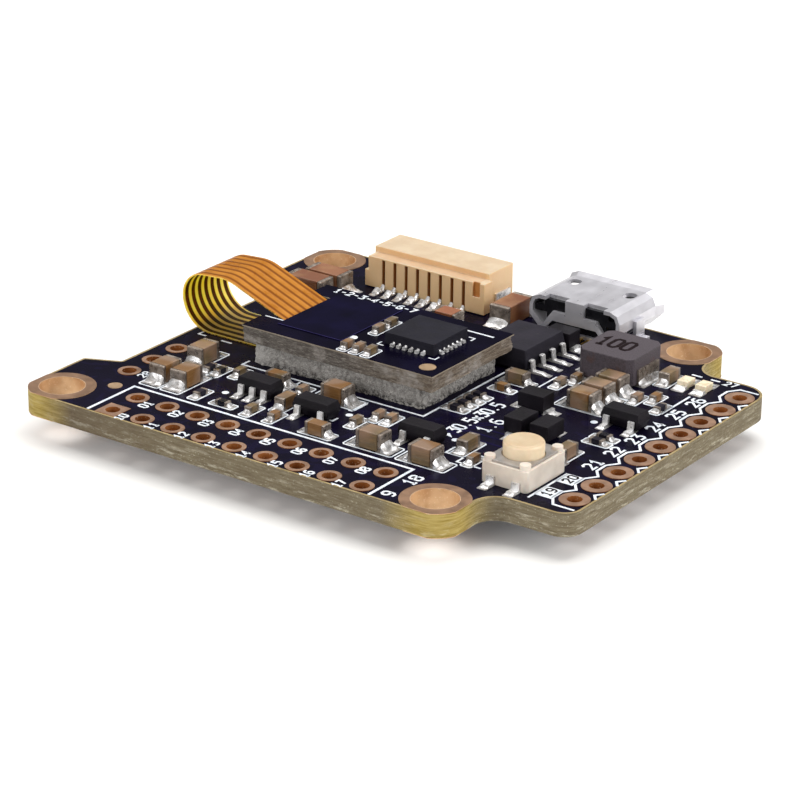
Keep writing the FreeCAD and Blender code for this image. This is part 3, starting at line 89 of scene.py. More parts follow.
def box_mm(name):
    low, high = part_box(name)
    return Box(low / MM, high / MM)


def film(side, thick):
    """The low and high z of a thin layer on a surface."""
    base, up = side
    return base - up * SINK, base + up * thick


# ---- looks

def tint(code):
    """Linear colour of a six-digit code."""
    parts = [int(code[i:i + 2], 16) / 255 for i in (0, 2, 4)]
    return [c / 12.92 if c < 0.04045 else ((c + 0.055) / 1.055) ** 2.4 for c in parts] + [1.0]


MATERIALS = {}


class Tree:
    """The nodes of a material or a world."""

    def __init__(self, owner):
        owner.use_nodes = True
        self.owner, self.tree = owner, owner.node_tree

    def put(self, socket, value):
        """Link or set one input: from an output, a colour code or a number."""
        if isinstance(value, bpy.types.NodeSocket):
            self.tree.links.new(value, socket)
        else:
            socket.default_value = tint(value) if isinstance(value, str) else value

    def node(self, kind, inputs=None, **settings):
        made = self.tree.nodes.new("ShaderNode" + kind)
        for key, setting in settings.items():
            setattr(made, key, setting)
        for key, value in (inputs or {}).items():
            self.put(made.inputs[key], value)
        return made


class Look(Tree):
    """A node material on a Principled shader. Sizes are in millimetres of the object's own space."""

    def __init__(self, name, rough, metal=0.0, **sockets):
        super().__init__(bpy.data.materials.new(name))
        MATERIALS[name] = self.owner
        self.shader = self.tree.nodes["Principled BSDF"]
        where = self.node("TexCoord")
        self.place = self.value("VectorMath", {0: where.outputs["Object"], "Scale": 1 / MM}, operation="SCALE")
        self.x, self.y, self.z = self.node("SeparateXYZ", {0: self.place}).outputs
        self.up = self.node("SeparateXYZ", {0: where.outputs["Normal"]}).outputs[2]
        self.set("Roughness", rough)
        self.set("Metallic", metal)
        for socket, value in sockets.items():
            self.set(socket.replace("_", " ").title().replace("Ior", "IOR"), value)

    def set(self, socket, value):
        self.put(self.shader.inputs[socket], value)

    def paint(self, colour):
        self.set("Base Color", colour)

    def value(self, kind, inputs, **settings):
        return self.node(kind, inputs, **settings).outputs[0]

    def scaled(self, size, stretch):
        factors = [1 / (size * s) for s in stretch]
        return self.value("VectorMath", {0: self.place, 1: factors}, operation="MULTIPLY")

    def noise(self, size, detail=3.0, rough=0.55, stretch=(1, 1, 1)):
        """Cloudy values round 0.5 with features of about this size."""
        inputs = {"Vector": self.scaled(size, stretch), "Scale": 1.0, "Detail": detail, "Roughness": rough}
        return self.value("TexNoise", inputs)

    def cells(self, size):
        """Distance to the nearest of scattered points, from 0."""
        inputs = {"Vector": self.scaled(size, (1, 1, 1)), "Scale": 1.0}
        return self.value("TexVoronoi", inputs)

    def math(self, kind, first, second=0.0):
        return self.value("Math", {0: first, 1: second}, operation=kind)

    def times(self, first, second):
        return self.math("MULTIPLY", first, second)

    def size(self, value):
        return self.math("ABSOLUTE", value)

    def ease(self, value, low, high, start=0.0, end=1.0):
        """Value mapped from low..high to start..end and held there beyond."""
        inputs = {"Value": value, "From Min": low, "From Max": high, "To Min": start, "To Max": end}
        return self.value("MapRange", inputs)

    def mix(self, factor, first, second):
        return self.node("Mix", {0: factor, 6: first, 7: second}, data_type="RGBA").outputs[2]

    def tones(self, clouds, first, second, low=0.35):
        """The first colour where the clouds are thin and the second where they are thick."""
        return self.mix(self.ease(clouds, low, 1 - low), first, second)

    def near(self, value, middle, half, soft=0.02):
        """1 where value is within half of middle, else 0."""
        off = self.size(self.math("SUBTRACT", value, middle))
        return self.ease(off, half, half + soft, 1.0, 0.0)

    def bump(self, height, depth):
        inputs = {"Height": height, "Distance": depth * MM, "Strength": 1.0}
        self.set("Normal", self.value("Bump", inputs))
        return self


def plain(name, dark, light, rough, size=0.6, metal=0.0, **sockets):
    """Two close tones in clouds, with roughness that varies."""
    look = Look(name, rough, metal, **sockets)
    clouds = look.noise(size)
    look.paint(look.tones(clouds, dark, light))
    look.set("Roughness", look.ease(look.noise(size / 2), 0.3, 0.7, rough * 0.8, rough * 1.2))
    return look


def laminate(look):
    """Glass-fibre board seen at its sawn edge: olive resin, pale glass streaks, amber at the corners."""
    streaks = look.noise(0.9, 5, 0.65, stretch=(1.8, 1.8, 0.14))
    blotches = look.noise(1.0, 5, 0.7, stretch=(1.7, 1.7, 0.32))
    weave = look.noise(0.16, 2, 0.5, stretch=(2.6, 2.6, 0.35))
    colour = look.tones(streaks, "675c4a", "867d67", 0.3)
    low = look.ease(look.z, 0.1, 1.35, 0.7, 0.12)
    pale = look.times(look.ease(blotches, 0.54, 0.66), low)
    colour = look.mix(pale, colour, "d4cfbb")
    colour = look.mix(look.ease(weave, 0.52, 0.72, 0.0, 0.4), colour, "463a22")
    grit = look.ease(look.noise(0.14, 3, 0.7), 0.58, 0.7, 0.0, 0.5)
    colour = look.mix(grit, colour, look.tones(streaks, "3f3524", "dcd7c2", 0.45))
    # Painted shade: the front edge, which faces away from the key light, is darker and browner, most towards
    # its left end.
    front = look.times(look.ease(look.y, -16.4, -17.0), look.ease(look.x, -15.0, -3.0, 0.6, 0.1))
    colour = look.mix(front, colour, "4f4033")
    far = [look.ease(look.size(axis), 13.2, 16.4) for axis in (look.x, look.y)]
    corner = look.math("MAXIMUM", *far)
    outside = look.times(*[look.ease(look.size(axis), 12.6, 15.4) for axis in (look.x, look.y)])
    tab = look.ease(look.x, 18.2, 17.6)
    amber = look.times(look.times(corner, outside), tab)
    honey = look.tones(streaks, "95803f", "b5a05e", 0.4)
    honey = look.mix(look.times(pale, 0.6), honey, "d8cfae")
    return look.mix(look.times(amber, 0.9), colour, honey)


def board_look():
    look = Look("board_mask_and_edge", 0.3, specular_ior_level=0.04)
    edge = laminate(look)
    clouds = look.noise(5.0, 2)
    pour = look.noise(0.9, 1, 0.4)
    mask = look.tones(clouds, "080516", "0e0a1f")
    mask = look.mix(look.ease(pour, 0.56, 0.6, 0.0, 0.4), mask, "151130")
    flat = look.ease(look.size(look.up), 0.9, 0.96)
    look.paint(look.mix(flat, edge, mask))
    gloss = look.ease(look.noise(2.2), 0.35, 0.65, 0.22, 0.34)
    look.set("Roughness", look.ease(flat, 0.0, 1.0, 0.5, gloss))
    relief = look.times(look.noise(0.3, 4, 0.65), look.ease(flat, 0.0, 1.0, 8.0, 0.3))
    return look.bump(relief, 0.012)


def mask_look(name, rough=0.3, dark="070514", light="0d0a20"):
    look = plain(name, dark, light, rough, size=3.0, specular_ior_level=0.02)
    return look.bump(look.noise(0.4, 2), 0.004)


def copper_look(name, dark, light, wall, deep, rough, metal=0.5, rim=False):
    """Gold-plated copper: rose on the flat rings, bright at the rim if asked, which is a painted highlight,
    and another tone down the holes' walls, which is painted light.
    """
    look = Look(name, rough, metal)
    clouds = look.noise(0.7, 4)
    specks = look.noise(0.12, 2)
    colour = look.tones(clouds, dark, light)
    colour = look.mix(look.ease(specks, 0.6, 0.8, 0.0, 0.4), colour, "8a6248")
    inside = look.ease(look.size(look.up), 0.5, 0.6, 1.0, 0.0)
    # Painted highlight: a bright thin line round the edge of each mounting hole, where the rim catches the
    # light.
    if rim:
        aside = look.math("SUBTRACT", look.size(look.x), MOUNT)
        behind = look.math("SUBTRACT", look.size(look.y), MOUNT)
        away = look.math("SQRT", look.math("ADD", look.times(aside, aside), look.times(behind, behind)))
        colour = look.mix(look.near(away, 1.56, 0.02, 0.02), colour, "d2b292")
    # Painted light down the holes' walls: tones of their own, with pale painted glints, for the light that
    # falls in and bounces off the plating.
    down = look.tones(look.noise(1.3, 2), wall, deep)
    down = look.mix(look.ease(look.noise(0.13, 3), 0.6, 0.7, 0.0, 0.6), down, "fbe6c4")
    look.paint(look.mix(inside, colour, down))
    look.set("Roughness", look.ease(clouds, 0.3, 0.7, rough * 0.85, rough * 1.2))
    return look.bump(look.noise(0.18, 3), 0.01)


def solder_look(name, light="f2f2f4", dark="bdb9b6", rough=0.24, size=0.3, depth=0.014, metal=0.8):
    look = Look(name, rough, metal)
    clouds = look.noise(0.5, 3)
    look.paint(look.tones(clouds, dark, light))
    look.set("Roughness", look.ease(look.noise(0.3, 3), 0.35, 0.65, rough * 0.7, rough * 1.8))
    return look.bump(look.noise(size, 2), depth)


def resin_look(name, dark="151218", light="1f1b22", rough=0.5):
    look = plain(name, dark, light, rough, size=1.4, specular_ior_level=0.15)
    pits = look.cells(0.09)
    return look.bump(look.math("ADD", look.noise(0.07, 2), pits), 0.006)


def ceramic_look(name, first, second, third):
    """Fired ceramic; each part's own tone comes from where it sits."""
    look = Look(name, 0.34, coat_weight=0.3)
    place = look.noise(2.3, 0)
    colour = look.tones(place, first, second, 0.42)
    colour = look.mix(look.ease(look.noise(3.1, 0), 0.52, 0.6), colour, third)
    brown = look.times(look.near(look.x, -0.9, 1.2), look.near(look.y, 9.3, 0.9))
    colour = look.mix(brown, colour, "96593a")
    grain = look.noise(0.08, 3)
    layers = look.noise(0.3, 2, stretch=(3, 3, 0.2))
    colour = look.mix(look.ease(grain, 0.55, 0.75, 0.0, 0.3), colour, "5d4125")
    look.paint(look.mix(look.ease(layers, 0.5, 0.7, 0.0, 0.3), colour, "ad8858"))
    return look.bump(grain, 0.01)


def housing_look():
    """Cream nylon, with painted warm light on its upright faces and painted amber shade where the light gets
    lost in its slots.
    """
    look = Look("cream_nylon", 0.42, subsurface_weight=0.12, subsurface_scale=0.0006)
    look.set("Subsurface Radius", (1.0, 0.55, 0.25))
    low, high = box_mm("connector_housing")
    clouds = look.noise(1.2, 3)
    colour = look.tones(clouds, "ccb495", "d5c1a4")
    # Painted light: upright faces warmer and more orange, for light passing through the nylon.
    colour = look.mix(look.ease(look.size(look.up), 0.5, 0.8, 0.7, 0.0), colour, "f2c891")
    # Painted shade: amber deep in the slots.
    deep = look.near(look.y, low.y + 0.63, 0.52, 0.04)
    inside = look.near(look.x, (low.x + high.x) / 2, (high.x - low.x) / 2 - 0.55)
    slot = look.times(look.times(deep, inside), look.ease(look.z, 3.9, 4.0, 0.9, 0.15))
    look.paint(look.mix(slot, colour, "b8742c"))
    return look.bump(look.noise(0.25, 3), 0.012)


def plastic_look(name, dark, light, rough=0.4):
    look = plain(name, dark, light, rough, size=1.5, subsurface_weight=0.1, subsurface_scale=0.0006)
    return look.bump(look.noise(0.2, 3), 0.01)


def led_look():
    """Cloudy cream resin with brown flecks of phosphor."""
    look = Look("led_white", 0.3, subsurface_weight=0.1, subsurface_scale=0.0004)
    colour = look.tones(look.noise(0.4, 3), "dcc9a4", "f2e6cc")
    flecks = look.ease(look.cells(0.2), 0.08, 0.2, 0.7, 0.0)
    look.paint(look.mix(flecks, colour, "a8824e"))
    return look.bump(look.noise(0.15, 3), 0.008)


def cap_look():
    """Cream plastic, paler round the side than on the top, which is painted light on the sides."""
    look = Look("button_cream", 0.36, subsurface_weight=0.1, subsurface_scale=0.0006)
    clouds = look.noise(1.2, 3)
    top = look.tones(clouds, "c8b08e", "d3bd9d")
    side = look.tones(clouds, "dcc6a4", "e8d4b4")
    # Painted light: the sides are paler than the top to make up for the shade on them.
    look.paint(look.mix(look.ease(look.up, 0.5, 0.8), side, top))
    look.set("Roughness", look.ease(look.noise(0.5, 3), 0.3, 0.7, 0.3, 0.44))
    return look.bump(look.noise(0.2, 3), 0.01)


def steel_look(name, dark="cccbd1", light="dedde3", rough=0.32):
    look = Look(name, rough, 0.6)
    brushed = look.noise(0.8, 2, stretch=(1, 3, 1))
    look.paint(look.tones(look.noise(1.6), dark, light, 0.3))
    look.set("Roughness", look.ease(brushed, 0.3, 0.7, rough * 0.85, rough * 1.25))
    return look.bump(brushed, 0.002)


def ferrite_look():
    look = Look("pressed_ferrite", 0.6)
    grain = look.noise(0.1, 4, 0.7)
    colour = look.tones(grain, "362e34", "4e454c")
    side = look.ease(look.noise(1.3), 0.55, 0.7)
    # Brown patches on the upright sides, none on the top.
    side_brown_patches = look.times(side, look.ease(look.up, 0.1, 0.3, 1.0, 0.0))
    look.paint(look.mix(look.times(side_brown_patches, 0.6), colour, "4f2f20"))
    return look.bump(grain, 0.02)


def foam_look():
    look = Look("grey_foam", 0.9, sheen_weight=0.2)
    pores = look.cells(0.1)
    clouds = look.noise(0.3, 4, 0.7)
    colour = look.tones(clouds, "807b76", "bbb7b2")
    colour = look.mix(look.ease(pores, 0.1, 0.38, 0.75, 0.0), colour, "4c4844")
    # Dark flecks, thickest towards the bottom.
    low_dark_flecks = look.ease(look.noise(0.22, 3), 0.46, 0.56)
    low_dark_flecks = look.times(low_dark_flecks, look.ease(look.z, 1.75, 2.15, 0.9, 0.0))
    colour = look.mix(low_dark_flecks, colour, "1d1a1a")
    glints = look.ease(look.noise(0.11, 2), 0.66, 0.74)
    # Painted light: paler towards the left end, where the foam lies open to the light beside the gyro board's
    # notch.
    colour = look.mix(look.ease(look.x, -7.9, -5.6, 0.6, 0.0), colour, "dedbd6")
    look.paint(look.mix(look.times(glints, 0.85), colour, "f6f4f0"))
    return look.bump(look.math("ADD", pores, look.noise(0.2, 4)), 0.07)


def gyro_side_look():
    """The routed side of the small board: grey-brown glass layers."""
    look = Look("gyro_board_side", 0.75)
    layers = look.noise(0.5, 5, 0.65, stretch=(2.4, 2.4, 0.16))
    fibres = look.noise(0.2, 4, 0.7, stretch=(2.2, 2.2, 0.3))
    dust = look.noise(1.6, 5, 0.7)
    colour = look.tones(layers, "4a443e", "6d665f", 0.36)
    colour = look.mix(look.ease(fibres, 0.52, 0.72, 0.0, 0.7), colour, "c9c1b6")
    warm = look.ease(look.x, 0.0, 7.0, 0.0, 0.5)
    colour = look.mix(warm, colour, look.tones(layers, "6e5a45", "99866e", 0.4))
    colour = look.mix(look.ease(dust, 0.48, 0.66, 0.0, 0.6), colour, "b9b2ab")
    colour = look.mix(look.ease(look.z, 4.16, 4.24, 0.0, 0.6), colour, "b4a58e")
    look.paint(colour)
    return look.bump(look.math("ADD", layers, fibres), 0.06)


TRACES = 7
TRACE_PITCH = 0.7
RIBBON_NEAR, RIBBON_FAR = -2.0, 2.9
RIBBON_MIDDLE = (RIBBON_NEAR + RIBBON_FAR) / 2


def stripes(look, half, soft):
    """1 over each conductor of the ribbon and 0 between."""
    turn = look.math("DIVIDE", look.math("SUBTRACT", look.y, RIBBON_MIDDLE), TRACE_PITCH)
    part = look.math("FRACT", look.math("ADD", turn, 100.5))
    return look.near(part, 0.5, half / TRACE_PITCH, soft)


def film_outer_look():
    look = Look("polyimide_outer", 0.45, specular_ior_level=0.08)
    over = stripes(look, 0.07, 0.14)
    clouds = look.noise(1.5, 3)
    orange = look.tones(clouds, "a8691f", "bc7c2e")
    look.paint(look.mix(over, orange, "7a430f"))
    look.set("Roughness", look.ease(clouds, 0.35, 0.65, 0.25, 0.36))
    return look.bump(look.noise(0.6, 2), 0.006)


def film_inner_look():
    look = Look("polyimide_inner", 0.45, specular_ior_level=0.1, subsurface_weight=1.0,
                subsurface_scale=0.0006)
    look.set("Subsurface Radius", (1.0, 0.8, 0.2))
    over = stripes(look, 0.17, 0.06)
    clouds = look.noise(1.5, 3)
    yellow = look.tones(clouds, "ffd266", "ffe48a")
    brown = look.tones(clouds, "2a1503", "3d2106")
    # Painted shade: the inside of the loop is darker towards the board.
    yellow = look.mix(look.ease(look.z, 1.7, 2.8, 0.6, 0.0), yellow, "8c5a18")
    look.paint(look.mix(over, yellow, brown))
    return look.bump(look.noise(0.6, 2), 0.006)


def ink_look():
    look = plain("screen_ink", "cfd8e2", "f4f7fa", 0.6, size=0.5)
    return look.bump(look.noise(0.08, 3), 0.006)


board_look()
plain("laminate_rim", "8c7a52", "a8956c", 0.55, size=0.8, specular_ior_level=0.2)
mask_look("flex_cover_mask", 0.2, "08061a", "0e0b28")
mask_look("mask_over_traces", 0.3, "14102e", "1c1740")
# Painted highlight for the edges of the gyro board's flex cover.
mask_look("cover_rim", 0.4, "2a2650", "37325e")
mask_look("gyro_mask", 0.26)
gyro_side_look()
copper_look("mount_copper", "84664f", "9b7a60", "e8c59a", "c89b6f", 0.42, rim=True)
copper_look("pad_copper", "92725c", "ab8870", "bc7a42", "8e5528", 0.4)
copper_look("fiducial_copper", "9a8064", "b09474", "b09474", "9a8064", 0.5)
steel_look("usb_steel")
steel_look("lid_steel", "a9a8ad", "cfced3", 0.26)
steel_look("button_steel", "8f8b88", "b5b0ac", 0.34)
steel_look("dome_steel", "a3a09c", "cfcbc6", 0.3)
plain("contact_gold", "c99a3c", "e8c268", 0.28, metal=1.0, size=0.4)
resin_look("black_plastic", "0b0b0e", "15151a", 0.4)
resin_look("chip_resin", "0e0b10", "17131a")
resin_look("gyro_chip_resin", "16151d", "1f1e28", 0.6)
resin_look("regulator_resin", "211f27", "2c2932", 0.6)
ceramic_look("capacitor_ceramic", "6a583c", "8c715c", "7c572e")
ceramic_look("capacitor_ceramic_brown", "8a5c40", "7e4a2c", "946040")
ceramic_look("package_ceramic", "8c7f6c", "9c8f7a", "857862")
resin_look("resistor_glass", "15131a", "221f2a", 0.3)
solder_look("terminal_tin", "a89c91", "756a61", 0.3, 0.4, 0.004, 0.75)
solder_look("lead_tin", "f4f4f5", "d6d4d2", 0.3, 0.3, 0.006, 0.6)
solder_look("solder")
solder_look("tinned_pad", "c4c2c0", "9a9794", 0.34, 0.3, 0.01, 0.7)
ferrite_look()
plain("ferrite_marking", "12080a", "1c0e12", 0.7, size=0.3, specular_ior_level=0.1)
housing_look()
plastic_look("button_white", "cfc3b6", "ded3c6", 0.42)
cap_look()
led_look()
plastic_look("led_base", "cfc0a0", "dfd2b6", 0.45)
foam_look()
film_outer_look()
film_inner_look()
ink_look()
plain("studio_floor", "f4f3f1", "f7f6f4", 0.7, size=60.0, emission_color=(1.0, 0.985, 0.97, 1.0),
      emission_strength=0.06)


# ---- shapes

class Shape:
    """Points in millimetres and faces, gathered from many closed solids."""

    def __init__(self):
        self.points, self.faces, self.looks = [], [], []

    def add(self, points, faces, look=0):
        first = len(self.points)
        self.points += [tuple(p) for p in points]
        self.faces += [[first + i for i in face] for face in faces]
        self.looks += [look] * len(faces)

    def tube(self, rings, closed=False, looks=(0, 0)):
        """Quads between rings of points. The last ring meets the first if closed, else both are
        filled, the last with looks[0] and the rest with looks[1]."""
        count, total = len(rings[0]), len(rings) * len(rings[0])
        starts = range(0, total if closed else total - count, count)
        self.add([p for points in rings for p in points],
                 [[a + i, a + (i + 1) % count, (a + count + (i + 1) % count) % total, (a + count + i) % total]
                  for a in starts for i in range(count)], looks[1])
        if not closed:
            first = len(self.points) - total
            self.faces += [[a + i for i in range(count)] for a in (first, first + total - count)]
            self.looks += [looks[1], looks[0]]

    def prism(self, outline, low, high):
        """A flat outline drawn up from low to high."""
        self.tube([[(x, y, z) for x, y in outline] for z in (low, high)])

    def strip(self, line, width, low, high, closed=False):
        """A flat band along a line, mitred at its corners."""
        line = [Vector(p) for p in line]
        count = len(line)
        rings = []
        for i, here in enumerate(line):
            into = here - line[i - 1] if closed or i else None
            out = line[(i + 1) % count] - here if closed or i < count - 1 else None
            into = (into or out).normalized()
            out = (out or into).normalized()
            side = Vector((-into.y - out.y, into.x + out.x)).normalized()
            side *= width / 2 / max(0.5, side.dot(Vector((-out.y, out.x))))
            left, right = here + side, here - side
            rings.append([(*left, low), (*right, low), (*right, high), (*left, high)])
        self.tube(rings, closed)

    def lathe(self, section, x, y, count=32):
        """A solid turned from half a section, whose first and last points are on the axis."""
        points = [(x, y, section[0][1]), (x, y, section[-1][1])]
        for radius, z in section[1:-1]:
            points += [(a, b, z) for a, b in ring(x, y, radius, count)]
        last = 2 + (len(section) - 3) * count
        faces = []
        for i in range(count):
            j = (i + 1) % count
            faces += [[0, 2 + i, 2 + j], [1, last + j, last + i]]
            faces += [[a + i, a + j, a + count + j, a + count + i] for a in range(2, last, count)]
        self.add(points, faces)

    def sheet(self, rows, base):
        """A closed solid under a grid of points, with a flat base at z = base."""
        across = len(rows[0])
        top = [p for row in rows for p in row]
        bottom = [(p[0], p[1], base) for p in top]
        count = len(top)
        grid = [list(range(a, a + across)) for a in range(0, count, across)]
        faces = []
        for a in (a for row in grid[:-1] for a in row[:-1]):
            quad = [a, a + 1, a + across + 1, a + across]
            faces += [quad, [count + k for k in reversed(quad)]]
        rim = grid[0] + [row[-1] for row in grid[1:]] + grid[-1][-2::-1] + [row[0] for row in grid[-2:0:-1]]
        faces += [[a, b, count + b, count + a] for a, b in zip(rim, rim[1:] + rim[:1])]
        self.add(top + bottom, faces)

    def piece(self, name, looks, body, slot=None, smooth=None):
        """The mesh object, riding on a body. Smooth is the angle above which an edge stays sharp."""
        mesh = bpy.data.meshes.new(name)
        mesh.from_pydata([Vector(p) * MM for p in self.points], [], self.faces)
        mesh.polygons.foreach_set("material_index", self.looks)
        for look in looks:
            mesh.materials.append(MATERIALS[look])
        mesh.validate()
        shape = bmesh.new()
        shape.from_mesh(mesh)
        bmesh.ops.recalc_face_normals(shape, faces=shape.faces)
        shape.to_mesh(mesh)
        shape.free()
        if smooth:
            mesh.polygons.foreach_set("use_smooth", [True] * len(mesh.polygons))
            mesh.set_sharp_from_angle(angle=math.radians(smooth))
        made = placed(name, mesh)
        if body:
            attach(made, body)
        return made


def placed(name, data):
    made = bpy.data.objects.new(name, data)
    scene.collection.objects.link(made)
    return made


def ring(x, y, radius, count=24):
    turns = [2 * math.pi * i / count for i in range(count)]
    return [(x + radius * math.cos(t), y + radius * math.sin(t)) for t in turns]


def rectangle(low_x, low_y, high_x, high_y, cut=0.0):
    """Counter-clockwise corners, each cut off by a short diagonal if cut is given."""
    if not cut:
        return [(low_x, low_y), (high_x, low_y), (high_x, high_y), (low_x, high_y)]
    return [(low_x + cut, low_y), (high_x - cut, low_y), (high_x, low_y + cut), (high_x, high_y - cut),
            (high_x - cut, high_y), (low_x + cut, high_y), (low_x, high_y - cut), (low_x, low_y + cut)]


def solids(name):
    """The box, in millimetres, of each separate solid in a CAD node."""
    mesh = nodes[name].data
    keys = [tuple(round(c / MM * 1000) for c in v.co) for v in mesh.vertices]
    leader = {key: key for key in keys}

    def find(key):
        while leader[key] != key:
            leader[key] = leader[leader[key]]
            key = leader[key]
        return key

    for edge in mesh.edges:
        first, second = (find(keys[v]) for v in edge.vertices)
        leader[first] = second
    groups = {}
    for key in leader:
        groups.setdefault(find(key), []).append(key)
    boxes = [Box(*(Vector([pick(axis) for axis in zip(*group)]) / 1000 for pick in (min, max)))
             for group in groups.values()]
    return sorted(boxes, key=lambda b: tuple(b.low))


def middle(box):
    return (box.low + box.high) / 2


def longest(off):
    return 0 if abs(off.x) > abs(off.y) else 1


def chip_parts(bodies):
    """Each two-ended part: its body's box, the axis it lies along, and its ends with their way out."""
    ends = solids(bodies.rsplit("_", 1)[0] + "_terminals")
    parts = []
    for body in solids(bodies):
        centre = middle(body)
        pair = sorted(ends, key=lambda e: (middle(e) - centre).length)[:2]
        along = longest(middle(pair[0]) - centre)
        ways = [1 if middle(e)[along] > centre[along] else -1 for e in pair]
        parts.append((body, along, list(zip(pair, ways))))
    return parts


def soften(name, width):
    """Rounded edges on a CAD node."""
    add = nodes[name].modifiers.new
    add("join_faces", "WELD").merge_threshold = 1e-6
    flatten = add("join_flat_faces", "DECIMATE")
    flatten.decimate_type = "DISSOLVE"
    flatten.angle_limit = math.radians(0.5)
    bevel = add("round_edges", "BEVEL")
    bevel.width = width * MM
    bevel.segments = 2
    bevel.limit_method = "ANGLE"
    bevel.angle_limit = math.radians(35)
    bevel.harden_normals = True


def each(table, treat):
    for value, names in table.items():
        for name in names.split():
            treat(name, value)


def paint(name, look):
    made = nodes[name]
    if not made.material_slots:
        made.data.materials.append(None)
    for place in made.material_slots:
        place.material = MATERIALS[look]


# ---- solder

def fillet(shape, end, along, way, surface, reach, rise, flare=0.06):
    """Solder that climbs from the edge of its pad up the end of a part, hollow in the middle."""
    base, up = surface
    across, rows = 8, 7
    face = end.high[along] if way > 0 else end.low[along]
    half = (end.high[1 - along] - end.low[1 - along]) / 2
    centre = middle(end)[1 - along]
    grid = []
    for row in range(rows + 1):
        s = row / rows
        line = []
        for column in range(across + 1):
            u = 2 * column / across - 1
            out = face + way * (reach * s - 0.02)
            side = centre + u * (half + flare * s)
            lump = noise.noise(Vector((out, side, base)) * 4) * 0.25 * rise * math.sin(math.pi * s)
            height = (rise * (1 - s) ** 2 + lump) * (1 - 0.4 * u ** 4)
            place = [0, 0, base + up * max(PAD + 0.01, PAD + height)]
            place[along], place[1 - along] = out, side
            line.append(place)
        grid.append(line)
    shape.sheet(grid, base)


def pad(end, along, way, surface, reach, inward=0.1, widen=0.08):
    """A flat tinned pad from just under the part to reach beyond its end."""
    low, high = list(end.low), list(end.high)
    low[along] -= inward if way > 0 else reach
    high[along] += reach if way > 0 else inward
    low[1 - along] -= widen
    high[1 - along] += widen
    pads.prism(rectangle(low[0], low[1], high[0], high[1], 0.05), *film(surface, PAD))


# ---- screen ink

# Strokes of each sign, as points in twentieths of its width.
GLYPHS = {
    "0": "5,0 15,0 20,5 20,25 15,30 5,30 0,25 0,5 5,0",
    "1": "3,22 11,30 11,0 / 3,0 19,0",
    "2": "0,24 5,30 15,30 20,24 20,19 0,0 20,0",
    "3": "0,30 20,30 10,18 16,17 20,12 20,5 15,0 0,1",
    "4": "15,0 15,30 0,10 20,10",
    "5": "20,30 1,30 0,17 15,18 20,13 20,5 15,0 0,0",
    "6": "18,30 6,30 0,24 0,5 5,0 15,0 20,5 20,12 15,17 0,17",
    "7": "0,30 20,30 8,0",
    "8": "4,16 0,21 0,26 4,30 16,30 20,26 20,21 16,16 4,16 0,12 0,4 4,0 16,0 20,4 20,12 16,16",
    "9": "2,0 14,0 20,6 20,25 15,30 5,30 0,25 0,18 5,13 20,13",
    "-": "2,15 18,15",
    ".": "8,0 12,3",
    "x": "0,0 20,20 / 0,20 20,0",
}


def label(shape, text, x, y, height, turn, narrow, weight, surface=UPPER, gap=0.45):
    """Numerals in thick strokes from (x, y), turned about it by so many degrees."""
    turned = Matrix.Rotation(math.radians(turn), 2)
    size = height / 1.5
    start = 0.0
    for sign in text:
        for stroke in GLYPHS[sign].split(" / "):
            points = []
            for point in stroke.split():
                across, tall = (int(n) / 20 for n in point.split(","))
                flat = turned @ Vector(((start + across * narrow) * size, tall * size))
                points.append((x + surface[1] * flat.x, y + flat.y))
            shape.strip(points, height * weight, *film(surface, INK))
        start += narrow + gap


def joined(a, b):
    """One box round two that touch, if it holds little more than they do, else None."""
    whole = [min(a[0], b[0]), min(a[1], b[1]), max(a[2], b[2]), max(a[3], b[3])]
    touch = min(min(a[i + 2], b[i + 2]) - max(a[i], b[i]) for i in (0, 1)) > -0.02
    areas = [(c[2] - c[0]) * (c[3] - c[1]) for c in (whole, a, b)]
    return whole if touch and areas[0] < (areas[1] + areas[2]) * 1.15 else None


def frames(shape, parts, surface=UPPER, reach=0.34, margin=0.16, width=0.11):
    """A white outline round each part, one for parts that lie side by side."""
    boxes = []
    for body, along, ends in parts:
        whole = [body] + [end for end, _ in ends]
        low = [min(box.low[a] for box in whole) for a in (0, 1)]
        high = [max(box.high[a] for box in whole) for a in (0, 1)]
        low[along] -= reach
        high[along] += reach
        boxes.append([low[0] - margin, low[1] - margin, high[0] + margin, high[1] + margin])
    pair = True
    while pair:
        pair = next((p for p in combinations(boxes, 2) if joined(*p)), None)
        if pair:
            boxes = [c for c in boxes if c is not pair[0] and c is not pair[1]] + [joined(*pair)]
    for box in boxes:
        shape.strip(rectangle(*box, 0.12), width, *film(surface, INK), closed=True)


# ---- CAD nodes

# The material of the CAD nodes, by the last word of their names, and of those that differ.
ENDINGS = {"terminals": "terminal_tin", "leads": "lead_tin", "bodies": "capacitor_ceramic",
           "body": "chip_resin"}
PAINT = {
    "board_mask_and_edge": "main_pcb",
    "mount_copper": "mounting_hole_plating",
    "pad_copper": "signal_header_plating side_row_plating power_hole_plating",
    "fiducial_copper": "fiducial_dot",
    "usb_steel": "usb_shell",
    "black_plastic": "usb_insulator",
    "contact_gold": "usb_contacts",
    "cream_nylon": "connector_housing",
    "lead_tin": "connector_pins connector_hold_downs button_terminals diode_terminals led_terminals "
                "gyro_chip_pads",
    "button_white": "button_base",
    "button_steel": "button_cover",
    "button_cream": "button_cap",
    "pressed_ferrite": "inductor_core",
    "regulator_resin": "regulator_body",
    "chip_resin": "transistor_bodies diode_bodies",
    "capacitor_ceramic_brown": "capacitor_1206_bodies",
    "resistor_glass": "resistor_bodies",
    "led_base": "led_bases",
    "led_white": "led_lenses",
    "flex_cover_mask": "gyro_flex_cover",
    "gyro_chip_resin": "gyro_chip_body",
    "package_ceramic": "crystal_base barometer_base",
    "lid_steel": "crystal_lid barometer_lid",
}
for node_name in nodes:
    ending = node_name.rsplit("_", 1)[-1]
    if ending in ENDINGS:
        paint(node_name, ENDINGS[ending])
